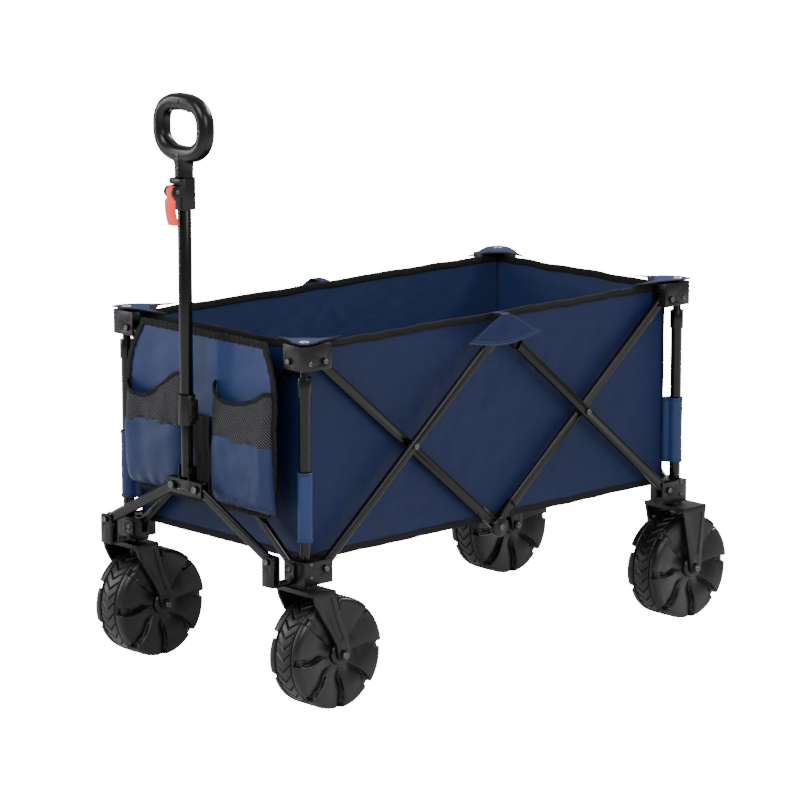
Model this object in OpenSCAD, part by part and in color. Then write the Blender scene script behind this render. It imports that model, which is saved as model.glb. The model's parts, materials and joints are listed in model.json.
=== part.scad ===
// Collapsible four-wheeled beach cart. Millimetres, +Z up, front (handle) towards -Y.

/* [Frame] */
// front post axis to rear post axis
frame_length = 860; // [700:10:1040]
// left post axis to right post axis
frame_width = 440; // [380:5:530]
// height of the lower pivots of the crossed bars
lower_pivot_z = 231; // [210:1:270]
// height of the upper pivots of the crossed bars
upper_pivot_z = 567; // [460:1:680]
// side pivots stand this far inboard of the post axis
side_inset = 30; // [26:1:40]
// end pivots stand this far inboard of the post axis
end_inset = 20; // [19.5:0.5:28]
// width of the flat-oval side bars
bar_width = 18; // [14:0.5:21]
// width of the flat-oval end bars
end_bar_width = 16; // [12:0.5:17]
// thickness of the flat-oval bars
bar_thick = 11; // [8:0.5:11.4]
// wall of every bar
bar_wall = 1.2; // [0.8:0.1:2]
// length of the flattened ends where two bars meet
tongue_length = 52; // [46:1:70]
// radius of the pivot screws and rivets
pivot_r = 3; // [2.5:0.1:4]

/* [Posts] */
// outer radius of the corner post tube
post_r = 9.5; // [8.5:0.1:9.8]
// radius of the sliding rod
rod_r = 7; // [5.5:0.1:7.5]
// gap between the upper bracket and the collar on the post tube
collar_drop = 11; // [8:1:60]
// height of the collar
collar_h = 31; // [20:1:45]
// outer radius of the collar
collar_r = 11.5; // [10.8:0.1:14]

/* [Brackets] */
// half width of the corner brackets
bracket_half = 15; // [13.5:0.5:20]
// length of the side arm from the post axis
side_arm = 45; // [40:1:60]
// length of the end arm from the post axis
end_arm = 33; // [30:1:45]
// underside of the lower brackets
lower_bracket_z = 207; // [200:1:212]
// height of the lower brackets
lower_bracket_h = 38; // [34:1:50]
// height of the upper brackets
upper_bracket_h = 40; // [34:1:50]
// upper pivot above the bracket's lower edge
upper_pivot_up = 13; // [10:0.5:18]

/* [Wheels] */
// wheel radius
wheel_r = 92; // [75:1:96]
// half of the wheel's width
wheel_half = 37.4; // [26:0.1:44]
// front axle behind the caster pivot
caster_trail = 42; // [20:1:55]
// rear axle behind the rear post
rear_trail = 8.6; // [0:0.1:25]
// axle radius
axle_r = 6; // [4:0.1:8]
// thickness of the fork legs
fork_thick = 5; // [4:0.5:8]
// gap between the wheel's side and the fork leg
fork_gap = 3.6; // [3:0.1:8]

/* [Handle] */
// handle axis in front of the front posts
handle_out = 57; // [56:1:75]
// half span of the hub's two screws
hub_half_span = 28.6; // [24:0.2:36]
// height of the hub's two screws
hub_z = 339; // [300:1:360]
// height of the lower screws of the V bars
v_pivot_z = 251; // [249:1:262]
// lower screws of the V bars stand this far inboard of the post axis
v_inset = 18; // [16:0.5:24]
// radius of the lower handle tube
handle_tube_r = 9.75; // [8:0.05:10.4]
// radius of the upper shaft
shaft_r = 11; // [10.2:0.1:13]
// foot of the plastic collar between the tubes
handle_collar_z = 442; // [420:1:520]
// foot of the clamp housing
clamp_z = 791; // [700:1:860]
// height of the cam lever's pin above the foot of the clamp housing
lever_up = 31; // [28:1:32]
// cam lever's pin in front of the shaft axis
lever_out = 24; // [22:0.5:30]
// top of the hand grip
grip_top_z = 977; // [860:1:1060]
// width of the hand grip
grip_width = 120; // [100:1:140]
// height of the hand grip
grip_height = 110; // [90:1:125]
// depth of the hand grip
grip_depth = 28; // [20:1:34]

/* [Fabric] */
// thickness of the tub's fabric
cloth = 1.5; // [1:0.1:2.5]
// bottom of the tub
tub_bottom_z = 240; // [236:1:250]
// how far the tub's rim lies below the top of the upper brackets
rim_drop = 4; // [2:1:20]
// gap between the side bars' plane and the tub
tub_gap = 5; // [4:0.5:12]
// thickness of the floor mat
mat_thick = 6; // [4:0.5:12]
// how far the front pockets stand out
pocket_depth = 25; // [15:1:26]
// top of the woven part of the front pockets
pocket_cloth_z = 428; // [380:1:440]
// top of the mesh part of the front pockets
pocket_mesh_z = 500; // [460:1:515]

/* [Hidden] */
$fn = 64;
fit = 0.05;
run_fit = 0.06;
pivot_gap = 0.2;
slot_gap = 0.55;
soft_gap = 0.4;
eps = 0.01;
lap = 1;

layer = bar_thick/2 + 0.5;
slot_half = bar_thick/2 + slot_gap;
half_tongue = bar_thick/2 - 0.25;
side_span = frame_length/2 - side_inset;
end_span = frame_width - 2*end_inset;
rise = upper_pivot_z - lower_pivot_z;
side_bar_length = norm([side_span, rise]);
side_tilt = atan2(rise, side_span);
end_bar_length = norm([end_span, rise]);
end_tilt = atan2(rise, end_span);

tub_x = frame_width/2 - layer - bar_thick/2 - tub_gap;
tub_y = frame_length/2 - layer - bar_thick/2 - tub_gap;
corner_in = layer + bar_thick/2 + tub_gap;

lever_r = 9;
foot_r = 12;
clamp_h = 51;
head_h = 2.2;
flush_head = 1;
v_layer = 4.5;
plate = 3;
rear_reach = frame_length/2 + rear_trail + wheel_r;
front_reach = frame_length/2 + handle_out + lever_out + lever_r;
y_shift = -(rear_reach - front_reach)/2;
handle_y = y_shift - frame_length/2 - handle_out;
upper_bracket_z = upper_pivot_z - upper_pivot_up;
bracket_top_z = upper_bracket_z + upper_bracket_h;
collar_top_z = upper_bracket_z - collar_drop;
rim_z = bracket_top_z - rim_drop;
post_floor_z = lower_bracket_z + 11;
kingpin_top_z = lower_bracket_z + 9;
kingpin_r = 5;
rod_foot_z = lower_pivot_z + 30;
fork_top_z = lower_bracket_z - 4.6;
hinge_up = 27;
handle_hinge_z = hub_z + hinge_up;
v_run = frame_width/2 - v_inset - hub_half_span;
v_rise = hub_z - v_pivot_z;
v_length = norm([v_run, v_rise]);
v_tilt = atan2(v_rise, v_run);
hub_slot = 11.5;

steel = [0.06, 0.06, 0.065];
plastic = [0.09, 0.09, 0.095];
tyre = [0.05, 0.05, 0.055];
navy = [0.10, 0.16, 0.33];
navy_in = [0.06, 0.09, 0.22];
red = [0.85, 0.16, 0.14];

// ---------- shared pieces ----------

// local corner frame: origin on the post axis, +x and +y run inboard
module corner(sx, sy)
  translate([sx*frame_width/2, y_shift + sy*frame_length/2, 0]) scale([-sx, -sy, 1]) children();

module rod_x(r, a, b) translate([a, 0, 0]) rotate([0, 90, 0]) cylinder(r = r, h = b - a);
module rod_y(r, a, b) translate([0, b, 0]) rotate([90, 0, 0]) cylinder(r = r, h = b - a);

module oval(t, w) {
  square([t, w - t], center = true);
  for (s = [-1, 1]) translate([0, s*(w - t)/2]) circle(r = t/2);
}

// hollow flat-oval tube along +X from a to b
module oval_tube(a, b, w)
  translate([a, 0, 0]) rotate([90, 0, 90]) linear_extrude(height = b - a) difference() {
    oval(bar_thick, w);
    oval(bar_thick - 2*bar_wall, w - 2*bar_wall);
  }

// bar with an eye at each end and a half-thickness tongue at the far end; side: +1 or -1 half kept
module tongued_bar(len, w, side) difference() {
  union() {
    oval_tube(0, len - tongue_length + lap, w);
    rod_y(w/2, -bar_thick/2, bar_thick/2);
    translate([len - tongue_length, side > 0 ? bar_thick/2 - half_tongue : -bar_thick/2, -w/2])
      cube([tongue_length, half_tongue, w]);
    translate([len, 0, 0])
      rod_y(w/2, side > 0 ? bar_thick/2 - half_tongue : -bar_thick/2,
            side > 0 ? bar_thick/2 : half_tongue - bar_thick/2);
    translate([len - tongue_length - 2, -bar_thick/2, -w/2 + bar_thick/2])
      cube([4, bar_thick, w - bar_thick]);
  }
  for (x = [0, len/2, len]) translate([x, 0, 0]) rod_y(pivot_r + pivot_gap, -bar_thick, bar_thick);
}

// bar with a full-thickness eye at both ends
module eyed_bar(len, w) difference() {
  union() {
    oval_tube(0, len, w);
    for (x = [0, len]) translate([x, 0, 0]) rod_y(w/2, -bar_thick/2, bar_thick/2);
  }
  for (x = [0, len/2, len]) translate([x, 0, 0]) rod_y(pivot_r + pivot_gap, -bar_thick, bar_thick);
}

// headed pin along +Y from a to b; the head at b sits on its own part, the one at a runs clear
module pin_y(a, b, head_r, b_head = head_h) {
  rod_y(pivot_r, a - run_fit, b);
  rod_y(head_r, b - eps, b + b_head);
  rod_y(head_r, a - run_fit - head_h, a - run_fit + eps);
}

module pin_x(a, b, head_r, b_head = head_h) rotate([0, 0, -90]) pin_y(a, b, head_r, b_head);

// ---------- corner brackets ----------

module arms(z, h) {
  translate([-bracket_half, -bracket_half, z]) cube([2*bracket_half, side_arm + bracket_half, h]);
  translate([-bracket_half, -bracket_half, z]) cube([end_arm + bracket_half, 2*bracket_half, h]);
}

module bar_slots(side_layer, end_layer, z0, z1) {
  translate([-side_layer*layer - slot_half, side_inset - bar_width/2 - 2, z0])
    cube([2*slot_half, side_arm, z1 - z0]);
  translate([end_inset - end_bar_width/2 - 1.2, -end_layer*layer - slot_half, z0])
    cube([end_arm, 2*slot_half, z1 - z0]);
}

module pivot_holes(z) {
  translate([0, side_inset, z]) rod_x(pivot_r + fit, -2*bracket_half, 2*bracket_half);
  translate([end_inset, 0, z]) rod_y(pivot_r + fit, -2*bracket_half, 2*bracket_half);
}

module pivot_pins(z) color([0.45, 0.45, 0.47]) {
  translate([0, side_inset, z]) pin_x(-bracket_half, bracket_half, 5, flush_head);
  translate([end_inset, 0, z]) pin_y(-bracket_half, bracket_half, 5, flush_head);
}

// end_layer: +1 outer layer, -1 inner layer
module lower_bracket(end_layer) {
  color(plastic) difference() {
    arms(lower_bracket_z, lower_bracket_h);
    bar_slots(1, end_layer, lower_pivot_z - bar_width/2 - 2, lower_bracket_z + lower_bracket_h + lap);
    translate([0, 0, post_floor_z]) cylinder(r = post_r + fit, h = lower_bracket_h);
    translate([0, 0, lower_bracket_z - lap])
      cylinder(r = kingpin_r + run_fit, h = kingpin_top_z - lower_bracket_z + lap);
    pivot_holes(lower_pivot_z);
  }
  pivot_pins(lower_pivot_z);
}

module upper_bracket(end_layer) {
  color(plastic) difference() {
    arms(upper_bracket_z, upper_bracket_h);
    bar_slots(-1, end_layer, upper_bracket_z - lap, upper_pivot_z + bar_width/2 + 2);
    translate([0, 0, upper_bracket_z - lap]) cylinder(r = rod_r + fit, h = upper_bracket_h - 6 + lap);
    pivot_holes(upper_pivot_z);
  }
  color([0.7, 0.7, 0.72]) translate([0, 0, bracket_top_z]) {
    cylinder(r = 3.6, h = cloth + 1.2);
    translate([0, 0, cloth + 0.6]) cylinder(r = 8, h = 1.2);
  }
  pivot_pins(upper_pivot_z);
}

// ---------- telescoping posts ----------

module post_tube() {
  split_z = collar_top_z - 13;
  color(steel) difference() {
    translate([0, 0, post_floor_z]) cylinder(r = post_r, h = split_z - post_floor_z);
    translate([0, 0, post_floor_z - lap]) cylinder(r = rod_r + 1, h = split_z);
  }
  color(plastic) difference() {
    translate([0, 0, collar_top_z - collar_h]) cylinder(r = collar_r, h = collar_h);
    translate([0, 0, collar_top_z - collar_h - lap])
      cylinder(r = post_r + fit, h = split_z - collar_top_z + collar_h + lap);
    cylinder(r = rod_r + run_fit, h = 2*collar_top_z);
  }
}

module post_rod() color(steel)
  translate([0, 0, rod_foot_z]) cylinder(r = rod_r, h = bracket_top_z - 6 - rod_foot_z);

// ---------- crossed bars of one long side, seen from the outside ----------

// s: +1 right, -1 left; e: +1 rear, -1 front
module side_place(s, e, upper, outer)
  translate([s*(frame_width/2 + (outer ? layer : -layer)), y_shift + e*side_span,
             upper ? upper_pivot_z : lower_pivot_z])
    rotate([0, 0, -90*e]) rotate([0, upper ? side_tilt : -side_tilt, 0]) scale([1, s*e, 1]) children();

module outer_side_bar(s, e) color(steel) side_place(s, e, false, true) {
  tongued_bar(side_bar_length, bar_width, e < 0 ? 1 : -1);
  translate([side_bar_length/2, 0, 0]) pin_y(-bar_thick*1.5 - 1, bar_thick/2, 5.5);
  if (e < 0) translate([side_bar_length, 0, 0]) pin_y(-bar_thick/2, bar_thick/2, 5.5);
}

module inner_side_bar(s, e) color(steel) side_place(s, e, true, false) {
  tongued_bar(side_bar_length, bar_width, e < 0 ? 1 : -1);
  if (e < 0) translate([side_bar_length, 0, 0]) {
    rod_y(17, bar_thick/2, bar_thick/2 + 7);
    pin_y(-bar_thick/2, bar_thick/2 + 7, 5.5);
  }
}

// ---------- crossed bars of an end ----------

module end_place(e, s, upper, outer)
  translate([s*end_span/2, y_shift + e*(frame_length/2 + (outer ? layer : -layer)),
             upper ? upper_pivot_z : lower_pivot_z])
    rotate([0, 0, s > 0 ? 180 : 0]) rotate([0, upper ? end_tilt : -end_tilt, 0])
      scale([1, -s*e, 1]) children();

module outer_end_bar(e) color(steel) end_place(e, 1, false, true) {
  eyed_bar(end_bar_length, end_bar_width);
  translate([end_bar_length/2, 0, 0]) pin_y(-bar_thick*1.5 - 1, bar_thick/2, 5);
}

module inner_end_bar(e) color(steel) end_place(e, 1, true, false) eyed_bar(end_bar_length, end_bar_width);

// ---------- V bars, channels and hub ----------

module v_bar(s) color(steel) translate([s*(frame_width/2 - v_inset), handle_y, v_pivot_z])
  rotate([0, 0, s > 0 ? 180 : 0]) rotate([0, -v_tilt, 0]) {
    difference() {
      union() {
        rotate([90, 0, 90]) linear_extrude(height = v_length) difference() {
          oval(2*v_layer, bar_width);
          oval(2*v_layer - 2*bar_wall, bar_width - 2*bar_wall);
        }
        for (x = [0, v_length]) translate([x, 0, 0]) rod_y(bar_width/2, -v_layer, v_layer);
      }
      rod_y(pivot_r + pivot_gap, -bar_thick, bar_thick);
      translate([v_length, 0, 0]) rod_y(pivot_r + (s > 0 ? pivot_gap : fit), -bar_thick, bar_thick);
    }
    if (s < 0) translate([v_length, 0, 0]) pin_y(-v_layer - plate - 0.9, v_layer + plate + 0.9, 6.5);
  }

module v_channel(s) {
  face_y = y_shift - frame_length/2 - bracket_half;
  half_w = 13;
  x0 = s*(frame_width/2 - v_inset) - half_w;
  base_z = lower_bracket_z + 3;
  front_y = handle_y - v_layer - 0.4 - plate;
  color(steel) difference() {
    union() {
      translate([x0, face_y - plate, base_z]) cube([2*half_w, plate, lower_bracket_h - 6]);
      translate([x0, front_y, base_z]) cube([2*half_w, face_y - front_y, plate]);
      for (y = [front_y, handle_y + v_layer + 0.4]) {
        translate([x0, y, base_z]) cube([2*half_w, plate, v_pivot_z + 4 - base_z]);
        for (x = [5, 2*half_w - 5]) translate([x0 + x, y, v_pivot_z + 4]) rod_y(5, 0, plate);
        translate([x0 + 5, y, v_pivot_z + 4 - lap]) cube([2*half_w - 10, plate, 5 + lap]);
      }
    }
    translate([s*(frame_width/2 - end_inset), face_y, lower_pivot_z]) rod_y(6, -2*plate, plate);
    translate([s*(frame_width/2 - v_inset), handle_y, v_pivot_z]) rod_y(pivot_r + fit, -20, 20);
  }
  color([0.45, 0.45, 0.47]) translate([s*(frame_width/2 - v_inset), handle_y, v_pivot_z])
    pin_y(-v_layer - 0.4 - plate, v_layer + 0.4 + plate, 5);
}

module handle_hub() {
  gap = v_layer + 0.4;
  half_x = 42;
  half_z = 12.5;
  web_z = bar_width/2 + 0.5;
  ear_in = handle_tube_r + 0.6;
  color(steel) translate([0, handle_y, hub_z]) difference() {
    union() {
      for (y = [-gap - plate, gap]) translate([-half_x, y, -half_z])
        cube([2*half_x, plate, web_z + plate + half_z]);
      translate([-half_x, -gap - plate, web_z]) cube([2*half_x, 2*gap + 2*plate, plate]);
      for (x = [-ear_in - plate, ear_in]) translate([x, -gap - plate, web_z])
        cube([plate, 2*gap + 2*plate, hinge_up + 8 - web_z]);
    }
    translate([hub_half_span, 0, 0]) rod_y(pivot_r + fit, -20, 20);
    for (x = [0, hub_slot]) translate([-hub_half_span + x, 0, 0]) rod_y(pivot_r + 0.5, -20, 20);
    translate([-hub_half_span, -20, -pivot_r - 0.5]) cube([hub_slot, 40, 2*pivot_r + 1]);
    translate([0, 0, hinge_up]) rod_x(4 + fit, -40, 40);
  }
  color([0.45, 0.45, 0.47]) translate([0, handle_y, hub_z]) {
    translate([hub_half_span, 0, 0]) pin_y(-gap - plate, gap + plate, 6.5);
    translate([0, 0, hinge_up]) {
      rod_x(4, -ear_in - plate, ear_in + plate);
      for (s = [-1, 1]) scale([s, 1, 1]) rod_x(5.5, ear_in + plate, ear_in + plate + 1.6);
    }
  }
}

// ---------- handle ----------

joint_z = handle_collar_z + 29;

module handle_lower_tube() color(steel) translate([0, handle_y, 0]) difference() {
  translate([0, 0, handle_hinge_z - 9.5]) cylinder(r = handle_tube_r, h = joint_z - handle_hinge_z + 9.5);
  translate([0, 0, handle_hinge_z - 20]) cylinder(r = handle_tube_r - 1.5, h = joint_z);
  translate([0, 0, handle_hinge_z]) rod_x(4 + pivot_gap, -20, 20);
}

module handle_collar() {
  color(plastic) translate([0, handle_y, handle_collar_z]) difference() {
    union() {
      cylinder(r = shaft_r + 3, h = 49);
      translate([shaft_r - 2, -7, 8]) cube([11, 14, 34]);
    }
    translate([0, 0, -lap]) cylinder(r = handle_tube_r + fit, h = 29 + 2*lap);
    translate([0, 0, 29]) cylinder(r = shaft_r + fit, h = 49);
  }
  color([0.45, 0.45, 0.47]) for (z = [15, 35])
    translate([shaft_r + 9, handle_y, handle_collar_z + z]) rod_x(3.5, 0, 1.6);
}

module handle_shaft() color(steel) translate([0, handle_y, 0]) difference() {
  translate([0, 0, joint_z]) cylinder(r = shaft_r, h = clamp_z + 6 - joint_z);
  translate([0, 0, joint_z - lap]) cylinder(r = shaft_r - 1.4, h = clamp_z);
}

module handle_clamp() {
  color(plastic) translate([0, handle_y, clamp_z]) difference() {
    union() {
      linear_extrude(height = clamp_h) rounded_square(shaft_r + 3, 4.5);
      translate([-shaft_r - 2, -shaft_r - 9, clamp_h - 9]) cube([2*shaft_r + 4, shaft_r + 9, 9]);
      for (s = [-1, 1]) translate([0, -lever_out, lever_up]) {
        rod_x(lever_r, s > 0 ? 7.4 : -11.4, s > 0 ? 11.4 : -7.4);
        translate([s > 0 ? 7.4 : -11.4, 0, -lever_r]) cube([4, lever_out - shaft_r, 2*lever_r]);
      }
    }
    translate([0, 0, -lap]) cylinder(r = shaft_r + fit, h = 6 + lap);
    cylinder(r = shaft_r - 2 + run_fit, h = 60);
    translate([0, -lever_out, lever_up]) rod_x(pivot_r + fit, -20, 20);
  }
  color([0.45, 0.45, 0.47]) translate([0, handle_y - lever_out, clamp_z + lever_up])
    rod_x(pivot_r, -11.4, 11.4);
}

module handle_inner_tube() color(steel) translate([0, handle_y, 505]) difference() {
  cylinder(r = shaft_r - 2, h = grip_top_z - grip_height + 17 - 505);
  translate([0, 0, -lap]) cylinder(r = shaft_r - 3.5, h = 600);
}

module rounded_square(half, r) {
  square([2*half, 2*half - 2*r], center = true);
  square([2*half - 2*r, 2*half], center = true);
  for (x = [-1, 1]) for (y = [-1, 1]) translate([x*(half - r), y*(half - r)]) circle(r = r);
}

module stadium(w, h) {
  square([w - h, h], center = true);
  for (s = [-1, 1]) translate([s*(w - h)/2, 0]) circle(r = h/2);
}

module handle_grip() color(plastic) translate([0, handle_y, 0]) difference() {
  union() {
    translate([0, grip_depth/2, grip_top_z - grip_height/2]) rotate([90, 0, 0])
      linear_extrude(height = grip_depth) difference() {
        stadium(grip_width, grip_height);
        translate([0, 4]) stadium(grip_width*0.65, grip_height*0.53);
      }
    translate([0, 0, clamp_z + clamp_h + 0.5])
      cylinder(r = 13.5, h = grip_top_z - grip_height + 8 - clamp_z - clamp_h - 0.5);
  }
  translate([0, 0, clamp_z]) cylinder(r = shaft_r - 2 + fit, h = grip_top_z - grip_height + 17 - clamp_z);
}

module cam_lever() color(red) translate([0, handle_y - lever_out, clamp_z + lever_up]) difference() {
  union() {
    rod_x(lever_r, -7, 7);
    translate([-7, -lever_r, -20]) cube([14, 10, 20]);
    translate([-11, 0, 0]) rotate([90, 0, 90]) linear_extrude(height = 22)
      polygon([[-lever_r, -14.5], [2, -14.5], [1, -30], [-1, -44], [-4, -56], [-7, -58],
               [-lever_r, -56], [-6, -44], [-4.5, -30]]);
  }
  rod_x(pivot_r + pivot_gap, -20, 20);
}

// ---------- forks, axles, wheels ----------

// local frame: post axis at the origin, axle at y = trail
module fork_leg(trail, front) {
  x_in = wheel_half + fork_gap;
  pts = front
    ? [[-22, fork_top_z], [24, fork_top_z], [27, 178], [36, 150], [trail + 8, 122],
       [trail + foot_r, wheel_r + 4], [trail + foot_r, wheel_r], [trail - foot_r, wheel_r],
       [trail - 17, 112], [10, 138], [-8, 164], [-18, 184]]
    : [[-26, fork_top_z], [32, fork_top_z], [trail + foot_r, wheel_r], [trail - foot_r, wheel_r]];
  for (s = [-1, 1]) translate([s > 0 ? x_in : -x_in - fork_thick, 0, 0]) {
    rotate([90, 0, 90]) linear_extrude(height = fork_thick) polygon(pts);
    translate([0, trail, wheel_r]) rod_x(foot_r, 0, fork_thick);
  }
}

module fork(trail, front) {
  half_x = wheel_half + fork_gap + fork_thick;
  y0 = front ? -22 : -26;
  y1 = front ? 24 : 32;
  play = front ? 0.3 : 0;
  color(plastic) difference() {
    union() {
      fork_leg(trail, front);
      translate([-half_x, y0, fork_top_z - 7]) cube([2*half_x, y1 - y0, 7]);
      translate([0, 0, fork_top_z - lap]) cylinder(r = 14, h = lower_bracket_z - play - fork_top_z + lap);
      translate([0, 0, fork_top_z]) cylinder(r = kingpin_r, h = kingpin_top_z - play - fork_top_z);
    }
    translate([0, trail, wheel_r]) rod_x(axle_r + fit, -2*half_x, 2*half_x);
    for (s = [-1, 1]) translate([s*(half_x + 1) - 2.2, 0, 0]) rotate([90, 0, 90]) linear_extrude(height = 4.4)
      polygon(front
        ? [[-10, 192], [15, 192], [19, 174], [28, 146], [trail - 1, 118], [trail - 9, 118],
           [16, 140], [0, 166]]
        : [[-17, 192], [23, 192], [trail + 5, 118], [trail - 5, 118]]);
  }
}

module axle(trail) {
  half_x = wheel_half + fork_gap + fork_thick;
  color([0.3, 0.3, 0.32]) translate([0, trail, wheel_r]) {
    rod_x(axle_r, -half_x, half_x);
    for (s = [-1, 1]) scale([s, 1, 1]) {
      rod_x(axle_r, half_x - lap, half_x + 1);
      rod_x(8, half_x + fit, half_x + 3.2);
    }
  }
}

module wheel(trail) {
  notches = 8;
  blades = 8;
  tread_half = 20;
  shoulder_half = 26;
  notch_depth = wheel_half - shoulder_half - 1.4;
  recess = 9;
  color(tyre) translate([0, trail, wheel_r]) difference() {
    union() {
      rod_x(wheel_r, -tread_half, tread_half);
      rod_x(wheel_r - 4, -shoulder_half, shoulder_half);
      rod_x(wheel_r - 8, -wheel_half, wheel_half);
    }
    for (s = [-1, 1]) scale([s, 1, 1]) {
      for (i = [0:notches - 1]) rotate([i*360/notches, 0, 0])
        translate([wheel_half - notch_depth, -12, wheel_r - 13]) rotate([8, 0, 0])
          cube([notch_depth + lap, 26, 20]);
      difference() {
        rod_x(wheel_r - 20, wheel_half - recess, wheel_half + lap);
        rod_x(20, 0, 2*wheel_half);
        for (i = [0:blades - 1]) rotate([i*360/blades, 0, 0])
          translate([wheel_half - recess - lap, 8, 0]) rotate([-14, 0, 0])
            cube([recess + 3*lap, 7, wheel_r]);
      }
    }
    rod_x(axle_r + run_fit, -2*wheel_half, 2*wheel_half);
  }
}

// ---------- fabric ----------

// gusset over one upper bracket, with the sleeve round the post below it
module gusset() {
  translate([0, 0, bracket_top_z + 0.3]) linear_extrude(height = cloth - 0.4) difference() {
    polygon([[-bracket_half - 4, -bracket_half - 4], [4, -bracket_half - 3], [40, 4], [64, corner_in + 1],
             [corner_in + 1, corner_in + 1], [corner_in + 1, 88], [4, 50], [-bracket_half - 3, 4]]);
    circle(r = 4.1);
  }
  translate([corner_in, corner_in, rim_z + fit]) cube([cloth, 70, bracket_top_z + cloth - 0.1 - rim_z - fit]);
}

module post_sleeve() {
  z0 = lower_pivot_z + 45;
  h = 114;
  seam = corner_in*sqrt(2) - post_r - 1;
  difference() {
    union() {
      translate([0, 0, z0]) cylinder(r = post_r + soft_gap + 2.4, h = h);
      rotate([0, 0, 45]) translate([post_r + 1, -cloth/2, z0]) cube([seam, cloth, h]);
    }
    translate([0, 0, z0 - lap]) cylinder(r = post_r + soft_gap, h = h + 2*lap);
  }
}

module mid_flap(s) translate([s*(frame_width/2 + layer + bar_thick/2 + 3.4), y_shift, 0]) {
  translate([s > 0 ? 0 : -cloth, 0, 0]) rotate([90, 0, 90]) linear_extrude(height = cloth)
    polygon([[-16, rim_z + 1], [16, rim_z + 1], [50, rim_z - 20], [82, rim_z - 38], [45, rim_z - 46],
             [0, rim_z - 49], [-45, rim_z - 46], [-82, rim_z - 38], [-50, rim_z - 20]]);
  reach = corner_in + layer + bar_thick/2 + 3.4;
  translate([s > 0 ? -reach - cloth : fit, -16, rim_z + fit]) cube([reach + cloth - fit, 32, cloth]);
}

module tub_wall_side(s) color(navy) {
  translate([s > 0 ? tub_x - cloth : -tub_x, y_shift - tub_y, tub_bottom_z])
    cube([cloth, 2*tub_y, rim_z - tub_bottom_z]);
  mid_flap(s);
  for (e = [-1, 1]) {
    corner(s, e) gusset();
    corner(s, e) post_sleeve();
  }
}

module tub_wall_end(e) color(navy)
  translate([-tub_x + cloth + fit, y_shift + (e > 0 ? tub_y - cloth : -tub_y), tub_bottom_z])
    cube([2*(tub_x - cloth - fit), cloth, rim_z - tub_bottom_z]);

module tub_floor() color(navy_in)
  translate([-tub_x + cloth + fit, y_shift - tub_y + cloth + fit, tub_bottom_z])
    cube([2*(tub_x - cloth - fit), 2*(tub_y - cloth - fit), cloth]);

module floor_mat() color(navy_in)
  translate([-tub_x + cloth + 2, y_shift - tub_y + cloth + 2, tub_bottom_z + cloth])
    cube([2*(tub_x - cloth - 2), 2*(tub_y - cloth - 2), mat_thick]);

organiser_y = y_shift - frame_length/2 - bracket_half - plate - 0.5;
pocket_in = 42;
pocket_w = 142;
pocket_foot_z = 312;

// corner of one pocket nearest the low X end; s: +1 right, -1 left
function pocket_x(s) = s > 0 ? pocket_in : -pocket_in - pocket_w;

module organiser() color(navy) {
  z0 = pocket_foot_z;
  front = organiser_y - cloth - pocket_depth;
  difference() {
    union() {
      translate([0, organiser_y, 0]) rotate([90, 0, 0]) linear_extrude(height = cloth)
        polygon([[-170, z0 - 8], [170, z0 - 8], [187, z0 + 40], [189, pocket_mesh_z],
                 [184, rim_z - 62], [154, rim_z - 4], [-154, rim_z - 4], [-184, rim_z - 62],
                 [-189, pocket_mesh_z], [-187, z0 + 40]]);
      for (s = [-1, 1]) translate([pocket_x(s), front, z0])
        cube([pocket_w, pocket_depth + eps, pocket_cloth_z - z0]);
    }
    for (s = [-1, 1]) translate([pocket_x(s) + cloth, front + cloth, z0 + cloth])
      cube([pocket_w - 2*cloth, pocket_depth - cloth, pocket_cloth_z]);
  }
}

module mesh_pockets() color([0.05, 0.05, 0.06]) {
  front = organiser_y - cloth - pocket_depth;
  for (s = [-1, 1]) translate([pocket_x(s), front, pocket_cloth_z]) difference() {
    cube([pocket_w, pocket_depth - 0.1, pocket_mesh_z - pocket_cloth_z]);
    translate([cloth, cloth, -lap]) cube([pocket_w - 2*cloth, pocket_depth, pocket_mesh_z]);
  }
}

// ---------- named sub-parts ----------

module under_post(sx, sy) translate([sx*frame_width/2, y_shift + sy*frame_length/2, 0]) children();

module lower_bracket_rear_right() corner(1, 1) lower_bracket(1);
module lower_bracket_rear_left() corner(-1, 1) lower_bracket(-1);
module lower_bracket_front_right() corner(1, -1) lower_bracket(1);
module lower_bracket_front_left() corner(-1, -1) lower_bracket(-1);
module upper_bracket_rear_right() corner(1, 1) upper_bracket(-1);
module upper_bracket_rear_left() corner(-1, 1) upper_bracket(1);
module upper_bracket_front_right() corner(1, -1) upper_bracket(-1);
module upper_bracket_front_left() corner(-1, -1) upper_bracket(1);
module post_tube_rear_right() corner(1, 1) post_tube();
module post_tube_rear_left() corner(-1, 1) post_tube();
module post_tube_front_right() corner(1, -1) post_tube();
module post_tube_front_left() corner(-1, -1) post_tube();
module post_rod_rear_right() corner(1, 1) post_rod();
module post_rod_rear_left() corner(-1, 1) post_rod();
module post_rod_front_right() corner(1, -1) post_rod();
module post_rod_front_left() corner(-1, -1) post_rod();
module right_rear_outer_bar() outer_side_bar(1, 1);
module right_rear_inner_bar() inner_side_bar(1, 1);
module right_front_outer_bar() outer_side_bar(1, -1);
module right_front_inner_bar() inner_side_bar(1, -1);
module left_rear_outer_bar() outer_side_bar(-1, 1);
module left_rear_inner_bar() inner_side_bar(-1, 1);
module left_front_outer_bar() outer_side_bar(-1, -1);
module left_front_inner_bar() inner_side_bar(-1, -1);
module rear_end_outer_bar() outer_end_bar(1);
module rear_end_inner_bar() inner_end_bar(1);
module front_end_outer_bar() outer_end_bar(-1);
module front_end_inner_bar() inner_end_bar(-1);
module v_bar_right() v_bar(1);
module v_bar_left() v_bar(-1);
module v_channel_right() v_channel(1);
module v_channel_left() v_channel(-1);
module fork_rear_right() under_post(1, 1) fork(rear_trail, false);
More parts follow.
